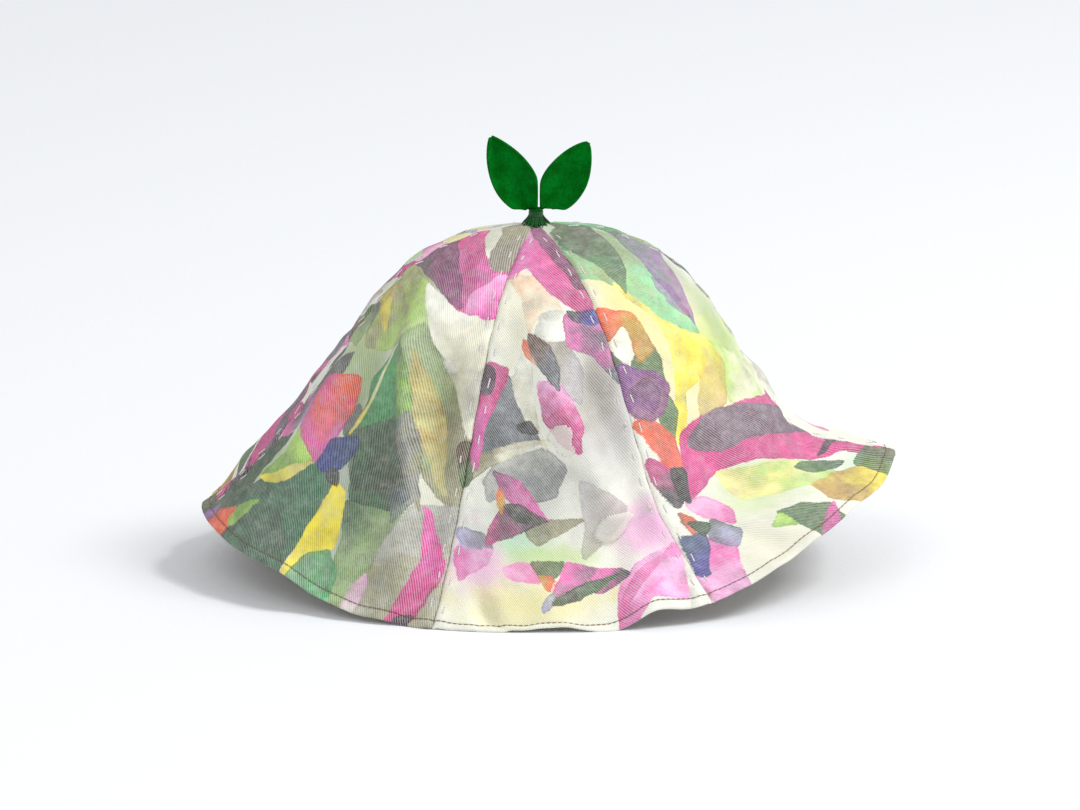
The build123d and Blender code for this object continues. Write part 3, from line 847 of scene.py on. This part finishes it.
def gore_piece(gore):
    """The gore as a mesh: its skin closed at the apex opening and along both seams."""
    points, across, down, wrong = gore_skin(gore)
    rows, columns = across.shape
    faces = grid_faces(rows, columns, loop_rows=True)
    half = len(gore.points)
    outer_row = np.arange(half - 1)
    inner_row = rows - 1 - outer_row
    sides = []
    for column, flip in ((0, False), (columns - 1, True)):
        quad = np.stack([outer_row, outer_row + 1, inner_row - 1, inner_row], axis=1)
        quad = quad * columns + column
        sides.append(quad[:, ::-1] if flip else quad)
        rim = np.arange(half - 1, half + 7) * columns + column
        strip = np.stack([rim[:3], rim[1:4], rim[::-1][1:4], rim[::-1][:3]], axis=1)
        sides.append(strip[:, ::-1] if flip else strip)
    faces = np.concatenate([faces, *sides])
    piece = mesh_object("cloth_" + gore.name, points.reshape(-1, 3), faces)
    seed = gore_names.index(gore.name)
    cloth = np.stack([across, down, wrong], axis=-1)
    ground, depths, inks = paint(gore.name, across, down)
    put_attribute(piece, "cloth", cloth, "FLOAT_VECTOR")
    put_attribute(piece, "seed", np.full(across.size, float(seed)))
    put_attribute(piece, "ground", ground, "FLOAT_COLOR")
    for layer in range(LAYERS):
        put_attribute(piece, f"depth_{layer}", depths[layer])
        put_attribute(piece, f"ink_{layer}", inks[layer], "FLOAT_COLOR")
    return piece


cloth_pieces = {name: gore_piece(gore) for name, gore in gores.items()}
print("vertices on each gore:", {n: len(o.data.vertices) for n, o in cloth_pieces.items()})

# %% [markdown]
# The twill is worked out from p and q: ribs 0.85 mm apart that run about 35 degrees off the gore's
# length, as on the real cloth, where every gore is cut the same way. Each rib is broken into
# short floats. The pattern lifts the surface, and it also lets the white warp show between the
# inks, which is why dark motifs look finely striped. The print adds pooled rims, blooms and grain.

# %% Printed twill
rib_pitch = 0.85
rib_turn = math.radians(35)
warp_white = (0.93, 0.93, 0.90)
needle_brown = (0.30, 0.24, 0.20)
unprinted = (0.90, 0.89, 0.85)


def weave(nodes, p, q, pitch, turn, seed):
    """Ribs at the turn, broken by a slow drift: 0 in the grooves and 1 on the ribs."""
    across = p * math.cos(turn) - q * math.sin(turn)
    along = p * math.sin(turn) + q * math.cos(turn)
    drift = nodes.noise(nodes.vector(p * 0.05, q * 0.05, seed), 1.0, 1.0)
    rib = (across * (2 * math.pi / pitch) + drift * 5.0).sin() * 0.5 + 0.5
    slub = nodes.noise(nodes.vector(across * (1.3 / pitch), along * 0.22, seed), 1.0, 2.0)
    floats = nodes.noise(nodes.vector(across * (1.0 / pitch), along * 1.5, seed), 1.0, 1.0)
    return rib * (0.75 + 0.5 * slub), slub, floats


def printed_twill():
    """Ground, five layers of ink with wobbling edges and pooled rims, white warp, needle holes."""
    nodes = Nodes("printed_twill")
    p, q, wrong = nodes.split(nodes.attribute("cloth", "Vector"))
    seed = nodes.attribute("seed")
    rib, slub, floats = weave(nodes, p, q, rib_pitch, rib_turn, seed)
    spot = nodes.vector(p * 0.01, q * 0.01, seed)
    wide = nodes.noise(spot, 9.0, 4.0, 0.6)
    middle = nodes.noise(spot, 28.0, 5.0, 0.65)
    fine = nodes.noise(spot, 90.0, 3.0, 0.6)
    grain = nodes.noise(spot, 260.0, 2.0, 0.6)
    colour = nodes.attribute("ground", "Color")
    blot = ((wide - 0.5) * 5.0).clamp()
    colour = nodes.mix(blot * 0.35, colour, linear(*INKS["mist"]))
    stain = ((middle - 0.55) * 6.0).clamp()
    colour = nodes.mix(stain * 0.22, colour, linear(*INKS["pear"]))
    for layer in range(LAYERS):
        depth = nodes.attribute(f"depth_{layer}")
        edge = depth + (wide - 0.5) + (middle - 0.5) * 1.6 + (fine - 0.5)
        inside = (edge * 2.2 + 0.5).clamp()
        ink = nodes.attribute(f"ink_{layer}", "Color")
        strength = nodes.attribute(f"ink_{layer}", "Alpha")
        pool = (1.0 - (edge * 1.6 - 0.6).absolute()).clamp() * ((wide - 0.42) * 5.0).clamp() * 0.7
        bloom = ((middle - 0.44) * 3.0).clamp() * 0.35 + ((wide - 0.5) * 4.0).clamp() * 0.3
        ink = nodes.mix(bloom * (1.0 - pool), ink, nodes.mix(0.5, ink, linear(*INKS["paper"])))
        dark = nodes.mix(1.0, ink, ink, "MULTIPLY")
        ink = nodes.mix((pool + (0.52 - middle) * 0.9 + (fine - 0.5) * 1.8 + 0.1).clamp(), ink, dark)
        colour = nodes.mix(inside * strength, colour, ink)
    groove = 1.0 - rib
    white_warp = (groove * 0.32 + (grain - 0.5) * 0.14 + (floats - 0.5) * 0.16).clamp()
    colour = nodes.mix(white_warp, colour, linear(*warp_white))
    colour = nodes.mix((rib * 0.36 + (slub - 0.5) * 0.25).clamp(), colour,
                       nodes.mix(1.0, colour, colour, "MULTIPLY"))
    needle = (1.0 - ((q - (slant - hem_stitch_inset)) * 2.2).absolute()).clamp()
    holes = (((p * (1 / hem_pitch)).fraction() - 0.5).absolute() * 4.0 - 1.2).clamp()
    colour = nodes.mix(needle * (0.3 + 0.6 * holes), colour, linear(*needle_brown))
    back = nodes.mix(0.72, colour, linear(*unprinted))
    colour = nodes.mix(wrong, colour, back)
    height = rib * 0.7 + floats * 0.35 + fine * 0.3
    nodes.set(Base_Color=colour, Roughness=0.74 + (slub - 0.5) * 0.2,
              Normal=nodes.bump(height, 0.00016), Specular_IOR_Level=0.22)
    return nodes.material


print_material = printed_twill()
for name, piece in cloth_pieces.items():
    piece.data.materials.append(print_material)
    gore = gores[name]
    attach(piece, "hat")
    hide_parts("gore_" + name)

# %% [markdown]
# Inside the hat, the pressed seam allowances show as one pale strip behind each seam, and the
# turned-in hem as a narrow band along the edge. Both are cloth on cloth, so they are grids that
# follow the folded gores at a small depth, closed at their sides.

# %% Strips of cloth on the wrong side
tape_gap = 0.1
tape_thickness = 0.45
tape_start = 15.0
tape_end_inset = 9.3
hem_band_depth = 9.0


def slab(name, top, bottom):
    """A closed sheet between two matching grids of points."""
    rows, columns = top.shape[:2]
    count = rows * columns
    faces = [grid_faces(rows, columns), grid_faces(rows, columns, count)[:, ::-1]]
    across, down = np.arange(columns - 1), np.arange(rows - 1)
    ring = np.concatenate([across, (columns - 1) + columns * down,
                           count - 1 - across, columns * (rows - 1 - down)])
    after = np.roll(ring, -1)
    faces.append(np.stack([ring, ring + count, after + count, after], axis=1))
    points = np.concatenate([top.reshape(-1, 3), bottom.reshape(-1, 3)])
    return mesh_object(name, points, np.concatenate(faces))


def add_cloth(piece, across, down):
    """The `cloth` attribute of a slab, the same on both of its faces."""
    cloth = np.stack([across, down, np.ones_like(across)], axis=-1).reshape(-1, 3)
    put_attribute(piece, "cloth", np.concatenate([cloth, cloth]), "FLOAT_VECTOR")


def around_seam(index, offsets, q, depth):
    """Points beside a seam: offsets below 0 lie on the gore before it and the rest on the gore after."""
    before, after = gores[gore_names[index - 1]], gores[gore_names[index]]
    offset, down = np.broadcast_arrays(offsets[None, :], q[:, None])
    half_before = np.interp(down, before.q, before.width) / 2
    half_after = np.interp(down, after.q, after.width) / 2
    left = before.at(half_before + np.minimum(offset, -0.01), down, -depth)[0]
    right = after.at(-half_after + np.maximum(offset, 0.01), down, -depth)[0]
    return np.where((offset < 0)[..., None], left, right)


def seam_tape(index):
    """One flat strip behind a seam, with a shallow groove along its middle."""
    q = np.linspace(tape_start, slant - tape_end_inset, 150)
    offsets = np.array([-5.0, -4.2, -3.0, -1.8, -0.7, -0.15, 0.15, 0.7, 1.8, 3.0, 4.2, 5.0])
    top = around_seam(index, offsets, q, cloth_thickness + tape_gap)
    bottom = around_seam(index, offsets, q, cloth_thickness + tape_gap + tape_thickness)
    groove = np.exp(-(offsets / 0.4) ** 2)[None, :, None] * 0.3
    bottom = bottom + groove * unit(top - bottom)
    piece = slab("pressed_seam_" + seam_names[index], top, bottom)
    add_cloth(piece, *np.broadcast_arrays(offsets[None, :], q[:, None]))
    return piece


def hem_band():
    """The turned-in hem: a strip made gore by gore just inside the edge, with its ends at the back."""
    q = np.linspace(slant - hem_band_depth, slant - 0.4, 10)
    tops, bottoms, across = [], [], []
    from_back = gore_names[3:] + gore_names[:3]
    for step, name in enumerate(from_back):
        gore = gores[name]
        last = name == from_back[-1]
        share = np.linspace(-0.5, 0.498, 111) if last else np.linspace(-0.5, 0.5, 111)[:-1]
        p = share[None, :] * np.interp(q, gore.q, gore.width)[:, None]
        down = np.broadcast_to(q[:, None], p.shape)
        tops.append(gore.at(p, down, -(cloth_thickness + 0.03))[0])
        bottoms.append(gore.at(p, down, -(facing_depth + facing_thickness))[0])
        across.append(p + 130.0 * step)
    top, bottom = np.concatenate(tops, axis=1), np.concatenate(bottoms, axis=1)
    bottom[..., 2] = np.maximum(bottom[..., 2], floor_clearance)
    top[..., 2] = np.maximum(top[..., 2], 0.3)
    piece = slab("turned_in_hem", top, bottom)
    across = np.concatenate(across, axis=1)
    add_cloth(piece, across, np.broadcast_to(q[:, None], across.shape))
    return piece


# cream, where the green and the pink of the print show through, and the shade beside a rib
wrong_side_colours = [(0.91, 0.89, 0.84), (0.82, 0.84, 0.74), (0.90, 0.76, 0.80), (0.62, 0.60, 0.56)]


def wrong_side_twill():
    """Pale cotton with a slight cast where the print shows through from the other side."""
    nodes = Nodes("wrong_side_twill")
    p, q, _ = nodes.split(nodes.attribute("cloth", "Vector"))
    rib, slub, floats = weave(nodes, p, q, rib_pitch, -rib_turn, 3.0)
    spot = nodes.vector(p * 0.01, q * 0.01, 5.0)
    wide = nodes.noise(spot, 7.0, 4.0, 0.6)
    tint = nodes.noise(spot, 17.0, 3.0, 0.6)
    cream, green_cast, pink_cast, shade = (linear(*colour) for colour in wrong_side_colours)
    colour = nodes.mix(((wide - 0.5) * 3.0).clamp() * 0.5, cream, green_cast)
    colour = nodes.mix(((tint - 0.56) * 5.0).clamp() * 0.4, colour, pink_cast)
    colour = nodes.mix((rib * 0.14).clamp(), colour, shade)
    nodes.set(Base_Color=colour, Roughness=0.82 + (slub - 0.5) * 0.15,
              Normal=nodes.bump(rib * 0.7 + floats * 0.4, 0.00014), Sheen_Weight=0.2,
              Sheen_Roughness=0.5, Specular_IOR_Level=0.3)
    return nodes.material


wrong_side = wrong_side_twill()
for index, name in enumerate(seam_names):
    piece = seam_tape(index)
    piece.data.materials.append(wrong_side)
    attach(piece, "hat")
    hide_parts("seam_tape_" + name)
hem = hem_band()
hem.data.materials.append(wrong_side)
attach(hem, "hat")
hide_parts("hem_facing")
brim_length = sum(gore.width[-1] for gore in gores.values()) * MM
8.6 * MM * brim_length
print("brim edge in mm:", round(brim_length / MM))

# %% [markdown]
# A stitch is a short length of thread that comes up through the cloth, crosses it and goes down
# again. All the stitches of one line are worked out at once, as an array of small tubes whose
# ends sink below the cloth. Hand stitches are never quite equal, so each one is given its own
# length, place and slant from a seeded draw.

# %% Stitches
hand_stitch_length = 4.2
hand_thread_radius = 0.33
hem_thread_radius = 0.19
hem_rings, hem_sides = 7, 6
taper_from = 0.82             # a thread narrows from this share of the way to each end


def tube_faces(count, rings, sides):
    """Quads of many equal tubes, and the small caps that close their ends."""
    firsts = (np.arange(count) * rings * sides)[:, None, None]
    walls = (grid_faces(rings, sides, loop_columns=True)[None] + firsts).reshape(-1, 4)
    first_cap = (np.arange(sides)[None, ::-1] + firsts[:, 0]).reshape(-1, sides)
    last_cap = (np.arange(sides)[None, :] + (rings - 1) * sides + firsts[:, 0]).reshape(-1, sides)
    return walls, first_cap, last_cap


def threads(name, paths, normals, radius, sides=8):
    """Tubes along many paths at once: paths and normals are (tubes, rings, 3); the ends taper shut."""
    count, rings = paths.shape[:2]
    tangent = unit(np.gradient(paths, axis=1))
    side = unit(np.cross(tangent, normals))
    normals = np.cross(side, tangent)
    end = np.abs(np.linspace(-1, 1, rings))
    girth = radius * np.sqrt(np.clip(1.0 - np.maximum(0.0, end - taper_from) ** 2 / 0.0326, 0.0004, 1.0))
    turn = np.linspace(0, 2 * math.pi, sides, endpoint=False)
    circle = (np.cos(turn)[None, None, :, None] * side[:, :, None]
              + np.sin(turn)[None, None, :, None] * normals[:, :, None])
    points = paths[:, :, None] + girth[None, :, None, None] * circle
    walls, first_cap, last_cap = tube_faces(count, rings, sides)
    piece = mesh_object(name, points.reshape(-1, 3), walls[:, ::-1], first_cap[:, ::-1],
                        last_cap[:, ::-1])
    steps = np.linalg.norm(np.diff(paths, axis=1), axis=-1)
    length = np.concatenate([np.zeros((count, 1)), np.cumsum(steps, axis=1)], axis=1)
    strand = np.stack(np.broadcast_arrays(length[:, :, None] + 7.0 * np.arange(count)[:, None, None],
                                          turn[None, None, :], 0.0), axis=-1)
    put_attribute(piece, "strand", strand, "FLOAT_VECTOR")
    return piece


def seam_stitches(index):
    """Two rows of running stitches beside one seam, uneven as hand sewing is."""
    paths, normals = [], []
    for side, gore in ((-1, gores[gore_names[index - 1]]), (1, gores[gore_names[index]])):
        start = np.arange(stitch_start, slant - 8.5, stitch_pitch)
        start = start + rng.normal(0.0, 0.5, start.size) + (1.0 if side > 0 else 0.0)
        length = hand_stitch_length + rng.normal(0.0, 0.45, start.size)
        slantwise = rng.normal(0.0, 0.25, start.size)
        shift = stitch_row_offset + rng.normal(0.0, 0.2, start.size)
        share = np.linspace(0.0, 1.0, 11)[None, :]
        q = start[:, None] + length[:, None] * share
        from_seam = shift[:, None] + slantwise[:, None] * (share - 0.5)
        half = np.interp(q, gore.q, gore.width) / 2
        p = (half - from_seam) * (1 if side < 0 else -1)
        arch = 0.42 * np.sin(math.pi * share) ** 0.5 - 0.30 + 0 * q
        points, normal = gore.at(p, q, arch)
        paths.append(points)
        normals.append(normal)
    return threads("running_stitches_" + seam_names[index], np.concatenate(paths),
                   np.concatenate(normals), hand_thread_radius)


def hem_stitches():
    """The machine topstitching: short even stitches all the way round, along the turned-in hem."""
    paths, normals = [], []
    for gore in gores.values():
        q0 = slant - hem_stitch_inset
        width = float(np.interp(q0, gore.q, gore.width))
        start = np.arange(-math.floor(width / (2 * hem_pitch)) * hem_pitch, width / 2 - 2.0, hem_pitch)
        share = np.linspace(0.0, 1.0, hem_rings)[None, :]
        p = start[:, None] + 0.25 + 1.85 * share
        unevenness = rng.normal(0.0, 0.06, start.size)[:, None]
        q = q0 + unevenness + 0.10 * np.sin(start / 9.0)[:, None] + 0 * share
        arch = 0.30 * np.sin(math.pi * share) ** 0.5 - 0.12 + 0 * p
        points, normal = gore.at(p, q, arch)
        paths.append(points)
        normals.append(normal)
    return threads("hem_topstitching", np.concatenate(paths), np.concatenate(normals),
                   hem_thread_radius, hem_sides)


def thread_material(name, light, dark, twist, bump):
    """Twisted plies, a sine round the thread and along it; dark is painted shade in the grooves. Twist
    and bump are in mm.
    """
    nodes = Nodes(name)
    along, turn, _ = nodes.split(nodes.attribute("strand", "Vector"))
    ply = (turn + along * (2 * math.pi / twist)).sin() * 0.5 + 0.5
    fuzz = nodes.noise(nodes.vector(along * 3.0, turn, 0.0), 3.0, 3.0)
    colour = nodes.mix((ply * 0.7 + (fuzz - 0.5) * 0.5).clamp(), linear(*dark), linear(*light))
    nodes.set(Base_Color=colour, Roughness=0.6 + fuzz * 0.2, Sheen_Weight=0.3, Specular_IOR_Level=0.35,
              Normal=nodes.bump(ply + fuzz * 0.3, bump * MM))
    return nodes.material


# each thread's dark colour is painted shade in the grooves between its plies
white_thread = thread_material("white_thread", (0.97, 0.96, 0.94), (0.80, 0.77, 0.76), 1.2, 0.12)
hem_thread = thread_material("hem_thread", (0.72, 0.60, 0.50), (0.40, 0.27, 0.22), 0.8, 0.06)
for index, name in enumerate(seam_names):
    piece = seam_stitches(index)
    piece.data.materials.append(white_thread)
    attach(piece, "hat")
    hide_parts("seam_stitches_" + name)
topstitch = hem_stitches()
topstitch.data.materials.append(hem_thread)
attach(topstitch, "hat")
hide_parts("hem_topstitch")
print("hem stitches:", len(topstitch.data.vertices) // (hem_rings * hem_sides))

# %% [markdown]
# The two leaves are cut felt, cupped towards the front, with their inner edges rolled where they
# meet. Each is one formula on a grid, from its foot to its tip and from edge to edge, and a sheet
# 1 mm thick is laid around that grid.

# %% Leaves
stem_top = 5.87
leaf_meet = 1.2
leaf_half_width = 9.0
felt_thickness = 1.0
leaf_foot = 0.03              # the share of a leaf's length that its gathered foot takes
# dull, bright and deep vary at random over the felt; the fourth, lit, is a painted highlight on raised
# fibres
felt_greens = [(0.0, 0.38, 0.05), (0.0, 0.52, 0.14), (0.0, 0.24, 0.02), (0.0, 0.55, 0.22)]


def leaf_grid(side, length, lean_degrees):
    """outward = 2.5 + L s sin(lean) + t w(s) cos(lean) for share s from foot to tip and t from edge
    to edge, with the length L and the half width w(s) like s^0.6 (1 - s)^0.85. The inner edge is
    rolled so that it stays clear of the other leaf."""
    lean = math.radians(lean_degrees)
    share = (leaf_foot + 0.955 * np.linspace(0.0, 1.0, 80))[:, None]
    across = np.sin(np.linspace(-math.pi / 2, math.pi / 2, 49))[None, :]
    half_width = leaf_half_width * (share / 0.4138) ** 0.6 * ((1 - share) / 0.5862) ** 0.85
    outward = 2.5 + length * share * math.sin(lean) + across * half_width * math.cos(lean)
    up = length * (share - leaf_foot) * math.cos(lean)
    up = up - across * half_width * math.sin(lean) * ease(share / 0.17)
    over = 0.2 + 0.5 - outward
    rolled = (over + np.sqrt(over ** 2 + 0.64)) / 2
    curl = 3.6 * np.abs(across) ** 2.2 * half_width / leaf_half_width
    curl = curl + 0.5 * np.sin(across * 2.0 + share * 7.0 + side)
    y = -curl - 0.8 * rolled + 0.9 * share + 0.25 * np.sin(share * 15.0 + 2.0 * side) * np.abs(across)
    x = apex_x + leaf_meet + side * (outward + rolled)
    return np.stack([x, y, apex_z + stem_top + 0.3 + up], axis=-1)


def leaf_piece(name, side, length, lean_degrees):
    """A leaf's middle surface, thickened to both sides along its normals."""
    middle = leaf_grid(side, length, lean_degrees)
    normal = unit(np.cross(np.gradient(middle, axis=0), np.gradient(middle, axis=1))) * side
    half = 0.5 * felt_thickness * normal
    return slab("felt_" + name, middle - half, middle + half)


def felt_material():
    """Matted wool: short fibres in all directions, with a painted highlight on the fibres that stand up.
    """
    nodes = Nodes("green_felt")
    place = nodes.place()
    mat = nodes.noise(place, 900.0, 5.0, 0.7)
    fibre = nodes.noise(place, 2600.0, 3.0, 0.6)
    wide = nodes.noise(place, 160.0, 3.0, 0.6)
    dull, bright, deep, lit = (linear(*green) for green in felt_greens)
    colour = nodes.mix(((wide - 0.35) * 2.5).clamp(), dull, bright)
    colour = nodes.mix(((mat - 0.42) * 3.0).clamp() * 0.55, colour, deep)
    colour = nodes.mix(((fibre - 0.56) * 6.0).clamp() * 0.35, colour, lit)
    nodes.set(Base_Color=colour, Roughness=0.95, Specular_IOR_Level=0.05, Sheen_Weight=0.08,
              Sheen_Roughness=0.6, Sheen_Tint=linear(0.1, 0.8, 0.3),
              Normal=nodes.bump(mat + fibre * 0.6, 0.0005))
    return nodes.material


felt = felt_material()
for name, side, length, lean in (("leaf_left", -1, 36.6, 29.4), ("leaf_right", 1, 35.0, 32.0)):
    piece = leaf_piece(name, side, length, lean)
    piece.data.materials.append(felt)
    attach(piece, name)
    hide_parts(name)

# %% [markdown]
# The leaves' feet are gathered on a short stem of pleated felt. A thread is wound round its waist,
# fans out from there to hold the stem down on the crown, and is knotted inside the hat. The stem is
# a profile turned about the hat's axis, and every thread is a tube along a curve from a formula.

# %% Stem, binding and knot
fan_count = 30


def revolved(name, profile, sides, pleat):
    """A solid of revolution about the hat's axis, with soft pleats in its wall."""
    radius, height = np.array(profile).T
    turn = np.linspace(0, 2 * math.pi, sides, endpoint=False)
    swell = 1.0 + pleat * np.sin(turn * 11) * np.sin(turn * 4 + 1.0)
    ring = radius[:, None] * swell
    z = np.broadcast_to(height[:, None] + apex_z, ring.shape)
    points = np.stack([apex_x + ring * np.cos(turn), ring * np.sin(turn), z], axis=-1)
    wall = grid_faces(len(profile), sides, loop_columns=True)
    bottom, top = np.arange(sides)[None, ::-1], np.arange(sides)[None, :] + (len(profile) - 1) * sides
    return mesh_object(name, points.reshape(-1, 3), wall, bottom, top)


def around_axis(radius, turn, height):
    """A point at a radius and a turn about the hat's axis, at a height over the apex."""
    return np.stack([apex_x + radius * np.cos(turn), radius * np.sin(turn), apex_z + height], axis=-1)


def wrapped_thread():
    """A helix of nearly six turns around the stem's waist."""
    t = np.linspace(0.0, 1.0, 260)
    turn = 2 * math.pi * 5.8 * t
    wobble = 0.12 * np.sin(turn * 0.37)
    path = around_axis(2.75 + wobble, turn, 3.35 + 2.15 * t + 0.15 * np.sin(turn * 0.8))
    out = np.stack([np.cos(turn), np.sin(turn), 0 * turn], axis=-1)
    return threads("wrapped_thread", path[None], out[None], 0.30, sides=10)


def fanned_threads():
    """Threads from the binding down over the stem's foot and into the crown."""
    turn = np.linspace(0, 2 * math.pi, fan_count, endpoint=False) + rng.normal(0, 0.07, fan_count)
    end_turn = turn + rng.normal(0, 0.10, fan_count)
    reach = 5.3 + rng.uniform(-0.5, 1.2, fan_count)
    t = np.linspace(0.0, 1.0, 14)[None, :, None]
    start = around_axis(2.65 + 0 * turn, turn, 3.9 + 0 * turn)
    middle = around_axis(3.2 + 0 * turn, (turn + end_turn) / 2, 1.7 + 0 * turn)
    end = outer_face(reach, math.pi / 2 + end_turn)
    path = (1 - t) ** 2 * start[:, None] + 2 * t * (1 - t) * middle[:, None] + t ** 2 * end[:, None]
    path[..., 2] += 0.25 - 0.75 * t[..., 0] ** 8
    out = np.stack([np.cos(turn), np.sin(turn), 0.8 + 0 * turn], axis=-1)
    return threads("fanned_threads", path, np.broadcast_to(out[:, None], path.shape), 0.24)


def knotted_ends():
    """A thread tangled into a ball: four turns, while its radius and its height sway seven times."""
    t = np.linspace(0.0, 2 * math.pi, 400)
    wide = 1.9 + 0.8 * np.cos(7 * t)
    ball = np.stack([wide * np.cos(4 * t), wide * np.sin(4 * t), 1.5 * np.sin(7 * t)], axis=-1)
    path = ball + np.array([apex_x, 0.0, apex_z - 4.7])
    return threads("knotted_ends", path[None], unit(ball)[None], 0.42, sides=8)


# radius and height over the apex in mm, from its end inside the crown to its rim under the leaves
stem_profile = [(0.6, -2.4), (2.5, -2.35), (2.6, -0.6), (4.3, -0.35), (4.2, 0.4), (3.5, 1.4), (2.8, 2.6),
                (2.42, 3.4), (2.40, 4.4), (2.5, 5.3), (3.0, 5.8), (3.4, 6.0), (2.6, 6.05), (0.5, 6.0)]
# the green thread's dark colour is painted shade in the grooves between its plies
green_thread = thread_material("green_thread", (0.06, 0.44, 0.18), (0.0, 0.20, 0.06), 1.0, 0.15)
for piece, node, material, slot in (
        (revolved("gathered_stem", stem_profile, 88, 0.09), "leaf_stem", felt, "felt"),
        (wrapped_thread(), "leaf_binding", green_thread, "green_thread"),
        (knotted_ends(), "apex_knot", green_thread, "green_thread"),
        (fanned_threads(), "anchor_stitches", green_thread, "green_thread")):
    piece.data.materials.append(material)
    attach(piece, "hat")
    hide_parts(node)

# %% [markdown]
# Inks keep the colours they were given only under the plain sRGB view, so the scene asks for it.
# The floor is a plain pale sheet. A large soft lamp stands at the upper right, a weaker and softer
# one fills in from the front, and the world brightens the shadows. Nothing here is part of the
# hat.

# %% Floor and light
bpy.context.scene.view_settings.view_transform = "Standard"
floor_place = (0, 0, cad_box[0][2])
bpy.ops.mesh.primitive_circle_add(vertices=96, radius=4.5, fill_type="NGON", location=floor_place)
floor = bpy.context.object
floor.name = "floor"
floor_nodes = Nodes("floor_paper")
paper = floor_nodes.noise(floor_nodes.place(), 220.0, 4.0, 0.6)
floor_nodes.set(Base_Color=linear(0.955, 0.96, 0.97), Roughness=0.9, Specular_IOR_Level=0.2,
                Normal=floor_nodes.bump(paper, 0.0002))
floor.data.materials.append(floor_nodes.material)

world = bpy.data.worlds.new("studio")
world.use_nodes = True
world.node_tree.nodes["Background"].inputs["Color"].default_value = (0.96, 0.98, 1.0, 1.0)
world.node_tree.nodes["Background"].inputs["Strength"].default_value = 0.62
bpy.context.scene.world = world


def soft_lamp(name, azimuth, elevation, distance, size, watts):
    """A square area lamp that shines at the hat from an azimuth right of the front."""
    data = bpy.data.lights.new(name, "AREA")
    data.size = size
    data.energy = watts
    lamp = bpy.data.objects.new(name, data)
    bpy.context.collection.objects.link(lamp)
    a, e = math.radians(azimuth), math.radians(elevation)
    way = np.array([math.sin(a) * math.cos(e), -math.cos(a) * math.cos(e), math.sin(e)])
    lamp.location = np.array([0.0, 0.0, 0.08]) + distance * way
    lamp.rotation_euler = (math.pi / 2 - e, 0.0, a)


soft_lamp("key", 78, 50, 3.0, 0.9, 54)
soft_lamp("front_fill", -20, 45, 3.2, 1.6, 15)
